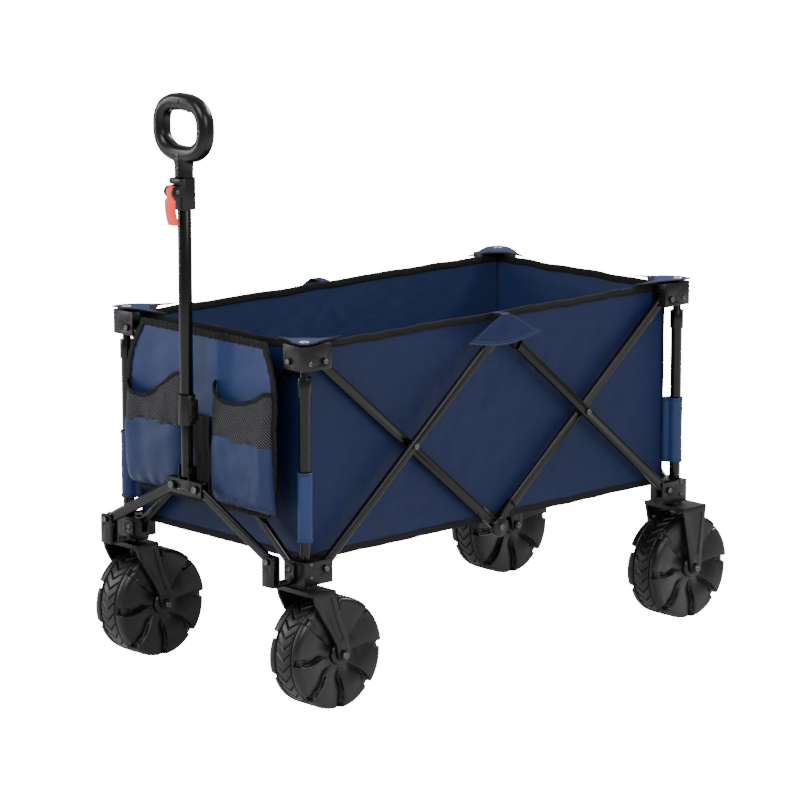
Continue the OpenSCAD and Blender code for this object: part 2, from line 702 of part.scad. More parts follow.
module fork_rear_left() under_post(-1, 1) fork(rear_trail, false);
module fork_front_right() under_post(1, -1) fork(caster_trail, true);
module fork_front_left() under_post(-1, -1) fork(caster_trail, true);
module wheel_rear_right() under_post(1, 1) wheel(rear_trail);
module wheel_rear_left() under_post(-1, 1) wheel(rear_trail);
module wheel_front_right() under_post(1, -1) wheel(caster_trail);
module wheel_front_left() under_post(-1, -1) wheel(caster_trail);
module axle_rear_right() under_post(1, 1) axle(rear_trail);
module axle_rear_left() under_post(-1, 1) axle(rear_trail);
module axle_front_right() under_post(1, -1) axle(caster_trail);
module axle_front_left() under_post(-1, -1) axle(caster_trail);
module tub_wall_right() tub_wall_side(1);
module tub_wall_left() tub_wall_side(-1);
module tub_wall_front() tub_wall_end(-1);
module tub_wall_rear() tub_wall_end(1);

lower_bracket_rear_right();
lower_bracket_rear_left();
lower_bracket_front_right();
lower_bracket_front_left();
upper_bracket_rear_right();
upper_bracket_rear_left();
upper_bracket_front_right();
upper_bracket_front_left();
post_tube_rear_right();
post_tube_rear_left();
post_tube_front_right();
post_tube_front_left();
post_rod_rear_right();
post_rod_rear_left();
post_rod_front_right();
post_rod_front_left();
right_rear_outer_bar();
right_rear_inner_bar();
right_front_outer_bar();
right_front_inner_bar();
left_rear_outer_bar();
left_rear_inner_bar();
left_front_outer_bar();
left_front_inner_bar();
rear_end_outer_bar();
rear_end_inner_bar();
front_end_outer_bar();
front_end_inner_bar();
v_bar_right();
v_bar_left();
v_channel_right();
v_channel_left();
handle_hub();
handle_lower_tube();
handle_collar();
handle_shaft();
handle_clamp();
handle_inner_tube();
handle_grip();
cam_lever();
fork_rear_right();
fork_rear_left();
fork_front_right();
fork_front_left();
wheel_rear_right();
wheel_rear_left();
wheel_front_right();
wheel_front_left();
axle_rear_right();
axle_rear_left();
axle_front_right();
axle_front_left();
tub_wall_right();
tub_wall_left();
tub_wall_front();
tub_wall_rear();
tub_floor();
floor_mat();
organiser();
mesh_pockets();
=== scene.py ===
"""Looks of a collapsible beach cart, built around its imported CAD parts. Metres, +Z up, front towards -Y."""
import json
import math

import bmesh
import bpy
import numpy as np
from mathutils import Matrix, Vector

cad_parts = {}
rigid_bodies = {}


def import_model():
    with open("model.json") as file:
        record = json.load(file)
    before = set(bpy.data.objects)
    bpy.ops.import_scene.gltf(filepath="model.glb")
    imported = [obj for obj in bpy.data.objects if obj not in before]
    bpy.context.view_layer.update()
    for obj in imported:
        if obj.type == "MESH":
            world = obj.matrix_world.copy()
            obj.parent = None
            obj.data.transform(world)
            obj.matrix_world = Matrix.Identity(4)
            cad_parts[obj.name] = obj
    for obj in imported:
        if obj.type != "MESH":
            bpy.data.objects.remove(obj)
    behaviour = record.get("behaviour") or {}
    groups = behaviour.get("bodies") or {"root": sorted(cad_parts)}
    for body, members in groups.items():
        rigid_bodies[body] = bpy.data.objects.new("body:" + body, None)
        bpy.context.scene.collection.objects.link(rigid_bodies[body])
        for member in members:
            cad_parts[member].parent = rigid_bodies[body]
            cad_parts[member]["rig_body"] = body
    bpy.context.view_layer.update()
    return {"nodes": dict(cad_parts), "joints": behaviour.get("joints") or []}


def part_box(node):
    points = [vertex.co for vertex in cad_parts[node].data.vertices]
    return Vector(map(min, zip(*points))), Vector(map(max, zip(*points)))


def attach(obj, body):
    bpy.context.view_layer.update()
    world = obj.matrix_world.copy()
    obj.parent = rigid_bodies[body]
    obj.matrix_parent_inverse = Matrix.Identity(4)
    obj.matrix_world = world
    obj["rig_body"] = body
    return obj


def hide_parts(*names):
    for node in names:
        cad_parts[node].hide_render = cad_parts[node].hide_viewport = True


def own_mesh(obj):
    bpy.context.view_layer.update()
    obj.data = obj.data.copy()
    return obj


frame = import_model()

# ---------- driving places, read from the frame ----------


def low(node):
    """Lowest corner of a CAD node."""
    return np.array(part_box(node)[0])


def high(node):
    """Highest corner of a CAD node."""
    return np.array(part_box(node)[1])


def joint(name):
    """Rest position of a joint."""
    return np.array([j for j in frame["joints"] if j["name"] == name][0]["pos_m"])


SHIFT = joint("right_mid_top")[1]
POST_X = joint("caster_swivel_right")[0]
FRONT_Y = joint("caster_swivel_right")[1]
REAR_Y = 2 * SHIFT - FRONT_Y
HANDLE_Y = joint("handle_tilt")[1]
POCKET_IN = 0.042
WALL_X = high("tub_floor")[0] + 0.0015
WALL_Y = high("tub_floor")[1] + 0.0015 - SHIFT
TUB_Z = low("tub_floor")[2]
RIM_Z = high("tub_wall_front")[2]
MAT_Z = high("floor_mat")[2]
WHEEL_R = joint("front_wheel_spin_right")[2]
CORNERS = {
    "rear_right": (1, 1),
    "rear_left": (-1, 1),
    "front_right": (1, -1),
    "front_left": (-1, -1),
}
CLOTH = 0.0012
SIDES = {1: "right", -1: "left"}


def post(corner):
    """Post axis of a corner, on the ground."""
    sx, sy = CORNERS[corner]
    return np.array([sx * POST_X, FRONT_Y if sy < 0 else REAR_Y, 0.0])


# ---------- materials ----------


def node_group(name, inputs, outputs, build):
    """A shader node group with float inputs and outputs, filled by build(nodes, links, inp, out)."""
    group = bpy.data.node_groups.new(name, "ShaderNodeTree")
    for label, kind, value in inputs:
        made = group.interface.new_socket(label, in_out="INPUT", socket_type=kind)
        if value is not None:
            made.default_value = value
    for label, kind in outputs:
        group.interface.new_socket(label, in_out="OUTPUT", socket_type=kind)
    inp = group.nodes.new("NodeGroupInput")
    out = group.nodes.new("NodeGroupOutput")
    build(group.nodes, group.links, inp, out)
    return group


def math_node(nodes, links, operation, a, b=None):
    """One Math node; a and b are sockets or numbers."""
    made = nodes.new("ShaderNodeMath")
    made.operation = operation
    for place, value in enumerate((a, b)):
        if value is None:
            continue
        if isinstance(value, (int, float)):
            made.inputs[place].default_value = value
        else:
            links.new(value, made.inputs[place])
    return made.outputs[0]


def build_weave(nodes, links, inp, out):
    """Height of a plain weave: sin(x) * sin(y) of the object's place times Count, in all three planes."""
    scaled = nodes.new("ShaderNodeVectorMath")
    scaled.operation = "SCALE"
    links.new(inp.outputs["Vector"], scaled.inputs[0])
    links.new(inp.outputs["Count"], scaled.inputs["Scale"])
    split = nodes.new("ShaderNodeSeparateXYZ")
    links.new(scaled.outputs[0], split.inputs[0])
    waves = [math_node(nodes, links, "SINE", split.outputs[i]) for i in range(3)]
    xy = math_node(nodes, links, "MULTIPLY", waves[0], waves[2])
    yz = math_node(nodes, links, "MULTIPLY", waves[1], waves[2])
    total = math_node(nodes, links, "ADD", xy, yz)
    links.new(total, out.inputs["Height"])


def build_speckle(nodes, links, inp, out):
    """Fine grain: a noise of the place times Count, from 0 to 1."""
    noise = nodes.new("ShaderNodeTexNoise")
    noise.inputs["Detail"].default_value = 3.0
    links.new(inp.outputs["Vector"], noise.inputs["Vector"])
    links.new(inp.outputs["Count"], noise.inputs["Scale"])
    links.new(noise.outputs["Fac"], out.inputs["Height"])


COUNTED = [("Vector", "NodeSocketVector", None), ("Count", "NodeSocketFloat", 1.0)]
WEAVE = node_group("weave", COUNTED, [("Height", "NodeSocketFloat")], build_weave)
SPECKLE = node_group("speckle", COUNTED, [("Height", "NodeSocketFloat")], build_speckle)


def finish_material(name, color, rough, group, count, bump, depth, tint=0.12, tint_scale=9.0, metallic=0.0,
                    gloss=0.3):
    """A Principled material: colour varied by a broad noise, and bumped by one of the groups."""
    mat = bpy.data.materials.new(name)
    mat.use_nodes = True
    nodes, links = mat.node_tree.nodes, mat.node_tree.links
    shader = nodes["Principled BSDF"]
    coords = nodes.new("ShaderNodeTexCoord")
    grain = nodes.new("ShaderNodeGroup")
    grain.node_tree = group
    grain.inputs["Count"].default_value = count
    links.new(coords.outputs["Object"], grain.inputs["Vector"])
    broad = nodes.new("ShaderNodeTexNoise")
    broad.inputs["Scale"].default_value = tint_scale
    broad.inputs["Detail"].default_value = 4.0
    links.new(coords.outputs["Object"], broad.inputs["Vector"])
    ramp = nodes.new("ShaderNodeValToRGB")
    ramp.color_ramp.elements[0].position = 0.3
    ramp.color_ramp.elements[1].position = 0.7
    for element, share in zip(ramp.color_ramp.elements, (1 - tint, 1 + tint)):
        element.color = (*[min(1, c * share) for c in color], 1)
    links.new(broad.outputs["Fac"], ramp.inputs["Fac"])
    links.new(ramp.outputs["Color"], shader.inputs["Base Color"])
    height = nodes.new("ShaderNodeBump")
    height.inputs["Strength"].default_value = bump
    height.inputs["Distance"].default_value = depth
    links.new(grain.outputs["Height"], height.inputs["Height"])
    links.new(height.outputs["Normal"], shader.inputs["Normal"])
    rough_map = nodes.new("ShaderNodeMapRange")
    rough_map.inputs["To Min"].default_value = rough - 0.06
    rough_map.inputs["To Max"].default_value = rough + 0.06
    links.new(broad.outputs["Fac"], rough_map.inputs["Value"])
    links.new(rough_map.outputs["Result"], shader.inputs["Roughness"])
    shader.inputs["Metallic"].default_value = metallic
    shader.inputs["Specular IOR Level"].default_value = gloss
    return mat


STEEL = finish_material("black_powder_coat", (0.0016, 0.0016, 0.0018), 0.24, SPECKLE, 900, 0.08, 0.0004,
                        gloss=0.28)
PLASTIC = finish_material("black_moulded_plastic", (0.0040, 0.0037, 0.0040), 0.36, SPECKLE, 1400, 0.12,
                          0.0003)
GRIP = finish_material("grip_plastic", (0.0020, 0.0020, 0.0022), 0.28, SPECKLE, 1400, 0.04, 0.0002,
                       gloss=0.30)
WHEEL = finish_material("wheel_plastic", (0.0046, 0.0044, 0.0047), 0.34, SPECKLE, 1100, 0.12, 0.0003,
                        gloss=0.34)
NAVY = finish_material("navy_polyester", (0.0036, 0.0098, 0.0460), 0.50, WEAVE, 3600, 0.22, 0.0004, 0.14, 3.0,
                       gloss=0.2)
# Mid navy of the organiser panel and the post sleeves; on the corner gussets it is a painted highlight of
# their lit tops.
NAVY_MID_AND_HIGHLIGHT = finish_material("navy_panel", (0.0092, 0.0235, 0.0900), 0.46, WEAVE, 3600, 0.22, 0.0004, 0.14, 5.0)
NAVY_LIGHT = finish_material("navy_pocket", (0.0056, 0.0165, 0.0640), 0.46, WEAVE, 3600, 0.22, 0.0004,
                             0.14, 8.0)
NAVY_IN = finish_material("navy_lining", (0.0080, 0.0185, 0.0680), 0.56, WEAVE, 3600, 0.2, 0.0004, 0.12, 3.0)
BINDING = finish_material("black_binding", (0.0030, 0.0030, 0.0036), 0.70, WEAVE, 2600, 0.5, 0.0006,
                          gloss=0.2)
THREAD = finish_material("blue_thread", (0.035, 0.075, 0.200), 0.7, SPECKLE, 3000, 0.3, 0.0004)
RED = finish_material("coral_plastic", (0.95, 0.060, 0.038), 0.45, SPECKLE, 1200, 0.05, 0.0003, 0.04)
ZINC = finish_material("zinc_fastener", (0.115, 0.115, 0.12), 0.30, SPECKLE, 1500, 0.1, 0.0002, metallic=1.0)
DARK_ZINC = finish_material("black_fastener", (0.030, 0.030, 0.032), 0.28, SPECKLE, 1500, 0.1, 0.0002,
                            metallic=0.8)
BRIGHT = finish_material("eyelet_steel", (0.62, 0.62, 0.63), 0.28, SPECKLE, 1500, 0.1, 0.0002, metallic=1.0)


def mesh_material():
    """Black netting drawn on the sheet: pale knots where slanted threads meet, and near-black holes between
    them, painted shade of the pocket's inside seen through the netting.
    """
    mat = finish_material("black_mesh", (0.030, 0.031, 0.034), 0.6, WEAVE, 2400, 0.4, 0.0005, gloss=0.2)
    nodes, links = mat.node_tree.nodes, mat.node_tree.links
    shader = nodes["Principled BSDF"]
    uv = nodes.new("ShaderNodeUVMap")
    uv.uv_map = "UVMap"
    split = nodes.new("ShaderNodeSeparateXYZ")
    links.new(uv.outputs["UV"], split.inputs[0])
    total = math_node(nodes, links, "ADD", split.outputs[0], split.outputs[1])
    less = math_node(nodes, links, "SUBTRACT", split.outputs[0], split.outputs[1])
    lines = []
    for value in (total, less):
        turns = math_node(nodes, links, "FRACT", value)
        off = math_node(nodes, links, "SUBTRACT", turns, 0.5)
        lines.append(math_node(nodes, links, "ABSOLUTE", off))
    knots = math_node(nodes, links, "MULTIPLY", lines[0], lines[1])
    ramp = nodes.new("ShaderNodeValToRGB")
    # The holes' near-black is painted shade: the shaded inside of the pocket seen through the netting.
    ramp.color_ramp.elements[0].position = 0.05
    ramp.color_ramp.elements[0].color = (0.0022, 0.0024, 0.0032, 1)
    ramp.color_ramp.elements[1].position = 0.17
    ramp.color_ramp.elements[1].color = (0.090, 0.092, 0.098, 1)
    links.new(knots, ramp.inputs["Fac"])
    links.new(ramp.outputs["Color"], shader.inputs["Base Color"])
    return mat


MESH = mesh_material()

# ---------- mesh helpers ----------


def smooth_step(value, start, end):
    """0 below start, 1 above end, and 3t^2 - 2t^3 between."""
    t = np.clip((value - start) / (end - start), 0, 1)
    return t * t * (3 - 2 * t)


def grid_of(x, y, z):
    """Points of a surface, from three arrays that broadcast together."""
    return np.stack(np.broadcast_arrays(x, y, z), 2)


def grid_faces(rows, columns, close_rows=False, close_columns=False):
    """Quads of a rows by columns grid of points, row by row."""
    r = np.arange(rows if close_rows else rows - 1)
    c = np.arange(columns if close_columns else columns - 1)
    r, c = [a.ravel() for a in np.meshgrid(r, c, indexing="ij")]
    r1, c1 = (r + 1) % rows, (c + 1) % columns
    return np.stack([r * columns + c, r * columns + c1, r1 * columns + c1, r1 * columns + c], 1)


def make(name, points, faces, materials, body, index=None, smooth=True, uv=None):
    """One mesh object from points and quads, riding on a body."""
    mesh = bpy.data.meshes.new(name)
    points = np.asarray(points, float).reshape(-1, 3)
    mesh.from_pydata(points.tolist(), [], faces if isinstance(faces, list) else faces.tolist())
    for mat in materials:
        mesh.materials.append(mat)
    if index is not None:
        mesh.polygons.foreach_set("material_index", np.asarray(index, np.int32))
    if smooth:
        mesh.polygons.foreach_set("use_smooth", np.ones(len(mesh.polygons), bool))
    if uv is not None:
        layer = mesh.uv_layers.new(name="UVMap")
        corner = np.zeros(len(mesh.loops), np.int32)
        mesh.loops.foreach_get("vertex_index", corner)
        layer.data.foreach_set("uv", np.asarray(uv, float)[corner].ravel())
    mesh.update()
    mesh.validate()
    piece = bpy.data.objects.new(name, mesh)
    bpy.context.scene.collection.objects.link(piece)
    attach(piece, body)
    return piece


def outward(points, closed=False):
    """Unit normals of a grid of points: its column gradient crossed with its row gradient."""
    across = np.gradient(points, axis=0)
    along = np.roll(points, -1, 1) - np.roll(points, 1, 1) if closed else np.gradient(points, axis=1)
    normal = np.cross(along, across)
    return normal / np.maximum(np.linalg.norm(normal, axis=2, keepdims=True), 1e-12)


def outline(rows, columns):
    """Indices round the border of a grid, the way its quads run."""
    return np.concatenate([np.arange(columns), np.arange(1, rows) * columns + columns - 1,
                           (rows - 1) * columns + np.arange(columns - 2, -1, -1),
                           np.arange(rows - 2, 0, -1) * columns])


def skirt(loops, count):
    """Quads that join each loop of points to the same loop count places later."""
    return np.concatenate([np.stack([np.roll(loop, -1), loop, loop + count, np.roll(loop, -1) + count], 1)
                           for loop in loops])


def cloth(name, points, body, front, back, thick=CLOTH, uv=None, edge=None,
          closed=False, bound=0):
    """A thin closed sheet: the grid of points and the same grid moved back along its normals by thick.

    Closed says that its columns run round and meet. The last rows, as many as bound, take the edge material.
    """
    rows, columns, _ = points.shape
    behind = points - outward(points, closed) * thick
    all_points = np.concatenate([points.reshape(-1, 3), behind.reshape(-1, 3)])
    faces = grid_faces(rows, columns, False, closed)
    count = rows * columns
    loops = [outline(rows, columns)]
    if closed:
        loops = [np.arange(columns), count - 1 - np.arange(columns)]
    rim = skirt(loops, count)
    bordered = np.repeat(np.arange(rows - 1), len(faces) // (rows - 1)) >= rows - 1 - bound
    index = np.concatenate([np.where(bordered, 2, 0), np.where(bordered, 2, 1), np.full(len(rim), 2)])
    both = None if uv is None else np.concatenate([uv.reshape(-1, 2)] * 2)
    return make(name, all_points, np.concatenate([faces, faces[:, ::-1] + count, rim]),
                [front, back, edge or front], body, index, uv=both)


def fans(rows, columns):
    """Triangles that close a grid's first and last ring, round two more points after the grid's own."""
    ring = np.arange(columns)
    after = (ring + 1) % columns
    last, pole = (rows - 1) * columns, np.full(columns, rows * columns)
    first_fan = np.stack([after, ring, pole], 1)
    last_fan = np.stack([last + ring, last + after, pole + 1], 1)
    return first_fan.tolist() + last_fan.tolist()


def sweep(name, path, section, up, material, body, closed=False):
    """A tube: a closed 2D section (side, up) carried along the path, with up vectors given for each point."""
    path, up = np.asarray(path, float), np.broadcast_to(np.asarray(up, float), (len(path), 3))
    if closed:
        tangent = np.roll(path, -1, 0) - np.roll(path, 1, 0)
    else:
        tangent = np.gradient(path, axis=0)
    tangent = tangent / np.linalg.norm(tangent, axis=1, keepdims=True)
    side = np.cross(up, tangent)
    side = side / np.linalg.norm(side, axis=1, keepdims=True)
    upright = np.cross(tangent, side)
    section = np.asarray(section, float)
    if section.ndim == 2:
        section = np.broadcast_to(section, (len(path), *section.shape))
    points = path[:, None] + side[:, None] * section[..., :1] + upright[:, None] * section[..., 1:]
    rows, columns = points.shape[:2]
    faces = grid_faces(rows, columns, closed, True)
    if closed:
        return make(name, points, faces, [material], body)
    points = np.concatenate([points.reshape(-1, 3), path[:1], path[-1:]])
    return make(name, points, faces.tolist() + fans(rows, columns), [material], body)


def band(name, path, section, body, up=(0, 0, 1), material=None, closed=False):
    """A sweep in black binding unless told otherwise."""
    return sweep(name, path, section, up, material or BINDING, body, closed)


def oval(half_side, half_up, count=16, power=2.0):
    """A closed superellipse section."""
    turn = np.linspace(0, 2 * np.pi, count, endpoint=False)
    c, s = np.cos(turn), np.sin(turn)
    return np.stack([half_side * np.sign(c) * np.abs(c) ** (2 / power),
                     half_up * np.sign(s) * np.abs(s) ** (2 / power)], 1)


def softened(node, material, small=ZINC, width=0.0008, split=0.040):
    """A copy of a CAD node with rounded edges. Solids shorter than split take the small material."""
    source = frame["nodes"][node]
    work = bmesh.new()
    work.from_mesh(source.data)
    bmesh.ops.remove_doubles(work, verts=work.verts, dist=1e-6)
    work.verts.ensure_lookup_table()
    seen = set()
    for start in work.verts:
        if start.index in seen:
            continue
        island, stack = [], [start]
        seen.add(start.index)
        while stack:
            vertex = stack.pop()
            island.append(vertex)
            for edge in vertex.link_edges:
                other = edge.other_vert(vertex)
                if other.index not in seen:
                    seen.add(other.index)
                    stack.append(other)
        places = np.array([v.co for v in island])
        tiny = np.ptp(places, axis=0).max() < split
        for vertex in island:
            for face in vertex.link_faces:
                face.material_index = 1 if tiny else 0
    mesh = bpy.data.meshes.new(node + "_soft")
    for face in work.faces:
        face.smooth = True
    work.to_mesh(mesh)
    work.free()
    mesh.materials.append(material)
    mesh.materials.append(small)
    piece = bpy.data.objects.new(node + "_soft", mesh)
    bpy.context.scene.collection.objects.link(piece)
    bevel = piece.modifiers.new("edges", "BEVEL")
    bevel.width = width
    bevel.segments = 2
    bevel.limit_method = "ANGLE"
    bevel.angle_limit = math.radians(40)
    bevel.harden_normals = True
    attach(piece, source["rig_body"])
    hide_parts(node)
    return piece


# ---------- hard parts kept from the CAD, with rounded edges ----------

for node, source in list(frame["nodes"].items()):
    if node.startswith(("lower_bracket", "upper_bracket")):
        softened(node, PLASTIC, ZINC, 0.0012)
    elif node.startswith("post_tube"):
        softened(node, STEEL, PLASTIC, 0.0006)
    elif node.startswith("post_rod"):
        softened(node, STEEL, width=0.0003)
    elif node.endswith("_bar") or node.startswith(("v_bar", "v_channel", "handle_hub")):
        softened(node, STEEL, ZINC, 0.0005)
    elif node.startswith("fork"):
        softened(node, PLASTIC, width=0.0015)
    elif node.startswith("axle"):
        softened(node, DARK_ZINC, width=0.0008)
    elif node in ("handle_lower_tube", "handle_shaft", "handle_inner_tube"):
        softened(node, STEEL, width=0.0004)
    elif node in ("handle_collar", "handle_clamp"):
        softened(node, PLASTIC, ZINC, 0.0014, 0.025)


# ---------- wheels ----------

BLADES = 8
CHEVRONS = 32


def wheel_profile():
    """(x, r) pairs in millimetres across the wheel, from one hub face over the tread to the other."""
    half = [(30.5, 6.2), (31.0, 14), (29.5, 20), (30.0, 26), (31.2, 32), (32.4, 38), (33.6, 44), (34.8, 50),
            (35.8, 56), (36.5, 62), (37.0, 67), (37.2, 72), (37.2, 76), (37.1, 80), (36.8, 83.5),
            (36.2, 86.2),
            (35.2, 88.2), (33.8, 89.6), (31.8, 90.6), (29.4, 91.2), (26.6, 91.6), (23.8, 91.8), (21.6, 91.8),
            (20.4, 91.4), (19.8, 90.0), (19.3, 87.2), (18.7, 86.0), (18.1, 86.0), (17.5, 87.4), (17.0, 90.2),
            (16.4, 91.2)]
    across = [(x, 92.0 - 0.6 * (x / 16) ** 2) for x in np.linspace(-15.6, 15.6, 33)]
    return np.array([(-x, r) for x, r in half] + across + half[::-1])


def wheel_points(axle):
    """The wheel's surface on an angle by profile grid.

    Chevrons: the tread sinks by 3 mm where frac(turn * CHEVRONS / 2 pi + |x| / 19) is near 0.12.
    Blades: a side face falls from a crest to the next blade's edge, depth = 9 mm * near(r) * frac(phase)^1.7,
    and climbs back in a narrow step.
    Notches: over the last sixth of each blade the rim is cut 7 mm deep, with square ends.
    """
    profile = wheel_profile()
    turn = np.linspace(0, 2 * np.pi, 640, endpoint=False)[:, None]
    x = np.broadcast_to(profile[:, 0], (len(turn), len(profile))).copy()
    r = np.broadcast_to(profile[:, 1], (len(turn), len(profile))).copy()
    side = np.sign(x)
    tread = np.abs(x) < 15.8
    chevron = (turn * CHEVRONS / (2 * np.pi) + np.abs(x) / 19) % 1
    groove = np.clip(1.5 - np.abs(chevron - 0.16) / 0.09, 0, 1)
    r = r - np.where(tread, 3.0 * groove, 0)
    out = np.clip((r - 18) / 66, 0, 1)
    curve = 0.10 * np.sin(out * np.pi) + 0.10 * out
    phase = ((turn * side - curve) * BLADES / (2 * np.pi) + np.where(side > 0, 0, 0.5)) % 1
    near = smooth_step(r, 20, 42) * (1 - 0.45 * smooth_step(r, 74, 88))
    face = np.abs(x) > 24
    climb = smooth_step(phase, 0.955, 0.99)
    fall = 9.0 * phase ** 1.7 * (1 - climb)
    cut = smooth_step(phase, 0.80, 0.81) * (1 - smooth_step(phase, 0.955, 0.965))
    rim = smooth_step(r, 70, 76) * smooth_step(np.abs(x), 22.6, 24.4)
    x = x - side * np.where(face, fall * near + 2.0 * cut * rim, 0)
    r = r - np.where(np.abs(x) > 20, 7.0 * cut * rim, 0)
    points = np.stack([x, -r * np.sin(turn), r * np.cos(turn)], 2) / 1000
    return points + np.asarray(axle)


def wheel(corner):
    """One wheel with its chevron tread, bladed sides and hub caps."""
    sx, sy = CORNERS[corner]
    end, hand = corner.split("_")
    axle = joint(f"{end}_wheel_spin_{hand}").copy()
    points = wheel_points(axle)
    body = f"{end}_wheel_{hand}"
    faces = grid_faces(*points.shape[:2], True, True)[:, ::-1]
    piece = make(f"wheel_skin_{corner}", points, faces, [WHEEL], body)
    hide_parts(f"wheel_{corner}")
    for s in (-1, 1):
        path = axle + np.array([[s * a, 0, 0] for a in (0.030, 0.0345, 0.0378)])
        rings = np.stack([oval(r, r, 40) for r in (0.0185, 0.0175, 0.0150)])
        sweep(f"hub_boss_{corner}_{SIDES[s]}", path, rings, (0, 0, 1), WHEEL, body)


for name in CORNERS:
    wheel(name)


# ---------- handle grip and cam lever ----------


def grip():
    """The oval loop: a superellipse path with a rounded section, thinner above, and three finger bumps."""
    top = high("handle_grip")[2]
    centre = np.array([0, HANDLE_Y, top - 0.055])
    turn = np.linspace(0, 2 * np.pi, 224, endpoint=False)
    across, lift = np.sin(turn), np.cos(turn)
    path = centre + np.stack([0.0535 * np.sign(across) * np.abs(across) ** 0.80, 0 * turn,
                              0.0425 * np.sign(lift) * np.abs(lift) ** 0.80], 1)
    half_in = 0.0122 + 0.0012 * smooth_step(-lift, 0.0, 1.0)
    half_deep = 0.0138 - 0.0006 * smooth_step(lift, 0.4, 1.0)
    section = np.stack([oval(a, b, 28, 2.5) for a, b in zip(half_deep, half_in)])
    bumps = sum(np.exp(-(((path[:, 0] - place) / 0.0050) ** 2)) for place in (-0.021, -0.007, 0.007, 0.021))
    bumps = np.where(lift > 0, bumps, 0)
    inner = np.clip(-section[..., 1] / 0.0122, 0, 1)
    section[..., 1] -= inner * (0.0034 * np.clip(bumps, 0, 1))[:, None]
    up = path - centre
    piece = sweep("grip_loop", path, section, up, GRIP, "grip", closed=True)
    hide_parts("handle_grip")
    clamp_top = high("handle_clamp")[2]
    heights = np.linspace(clamp_top + 0.0006, top - 0.102, 14)
    share = np.linspace(0, 1, 14)
    radius = 0.0146 + 0.004 * share ** 5
    path = np.stack([0 * heights, 0 * heights + HANDLE_Y, heights], 1)
    rings = np.stack([oval(r * (1 + 0.35 * k ** 4), min(r, 0.0136), 32, 2.4) for r, k in zip(radius, share)])
    sweep("grip_neck", path, rings, (0, 1, 0), GRIP, "grip")
    spots = [(0, 0.0425), (-0.0535, 0), (0.0535, 0), (0, -0.0425), (0, -0.064)]
    for count, (x, z) in enumerate(spots):
        screw(f"grip_screw_{count}", centre + np.array([x, -0.0136, z]), (0, -1, 0), 0.0030, "grip")


def screw(name, place, axis, radius, body, material=None):
    """A pan-head screw: a lathed head with a sunken cross of two slots."""
    axis = Vector(axis).normalized()
    turn = np.linspace(0, 2 * np.pi, 24, endpoint=False)
    profile = np.array([[1.0, -0.15], [1.0, 0.25], [0.92, 0.42], [0.7, 0.52], [0.35, 0.57], [0.02, 0.58]])
    profile = profile * radius
    points = np.stack([np.outer(profile[:, 0], np.cos(turn)), np.outer(profile[:, 0], np.sin(turn)),
                       np.repeat(profile[:, 1:], 24, 1)], 2)
    in_arm = (np.abs(points[..., 0]) < 0.14 * radius) | (np.abs(points[..., 1]) < 0.14 * radius)
    inner = np.hypot(points[..., 0], points[..., 1]) < 0.6 * radius
    points[..., 2] -= np.where(in_arm & inner, 0.35 * radius, 0)
    turned = np.array(axis.to_track_quat("Z", "Y").to_matrix())
    poles = np.array([[0, 0, profile[0, 1]], [0, 0, profile[-1, 1] - 0.35 * radius]])
    points = np.concatenate([points.reshape(-1, 3), poles]) @ turned.T + np.asarray(place)
    faces = grid_faces(len(profile), 24, False, True).tolist() + fans(len(profile), 24)
    return make(name, points, faces, [material or ZINC], body)


def cam_lever():
    """The hanging lever: a rounded blade that curves in towards the shaft, below its barrel."""
    pin = joint("lever_cam")
    down = np.linspace(0, 1, 34)
    reach = pin[2] - low("cam_lever")[2] - 0.004
    z = pin[2] - reach * down
    y = pin[1] - 0.0030 - 0.0040 * np.sin(np.clip(down / 0.95, 0, 1) * np.pi) + 0.0035 * down
    path = np.stack([0 * z, y, z], 1)
    half_x = 0.0064 + 0.0046 * smooth_step(down, 0.20, 0.27)
    half_y = 0.0056 - 0.0012 * smooth_step(down, 0.0, 0.4)
    section = np.stack([oval(a, b, 24, 3.4) for a, b in zip(half_x, half_y)])
    piece = sweep("lever_blade", path, section, (0, 1, 0), RED, "lever")
    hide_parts("cam_lever")
    barrel = pin + np.array([[x, 0, 0] for x in (-0.0069, -0.0064, 0.0064, 0.0069)])
    rings = np.stack([oval(r, r, 32) for r in (0.0083, 0.0088, 0.0088, 0.0083)])
    sweep("lever_barrel", barrel, rings, (0, 0, 1), RED, "lever")
    for s in (-1, 1):
        screw(f"lever_pin_head_{SIDES[s]}", pin + np.array([s * 0.0117, 0, 0]), (s, 0, 0), 0.0042, "handle")


grip()
cam_lever()

# ---------- fabric ----------


def creases(u, v, seed, waves=9, scale=1.0):
    """Slanted sine waves over (u, v) in metres, each of its own length and direction, about 1 high."""
    r = np.random.default_rng(seed)
    total = np.zeros(np.broadcast(u, v).shape)
    for _ in range(waves):
        angle = r.uniform(0, np.pi)
        length = r.uniform(0.05, 0.22) * scale
        total += np.sin((u * np.cos(angle) + v * np.sin(angle)) * 2 * np.pi / length + r.uniform(0, 6.3))
    return total / math.sqrt(waves)


def pull(u, v, at, angle, reach, width):
    """A taut crease that starts at a point and fades.

    Height = exp(-along / reach) * exp(-(across / (width * spread))^2).
    """
    du, dv = u - at[0], v - at[1]
    along = du * math.cos(angle) + dv * math.sin(angle)
    across = -du * math.sin(angle) + dv * math.cos(angle)
    spread = 0.4 + along.clip(0) / reach
    fade = np.exp(-np.clip(along, 0, None) / reach)
    return fade * np.exp(-((across / (width * spread)) ** 2)) * (along > -0.004)


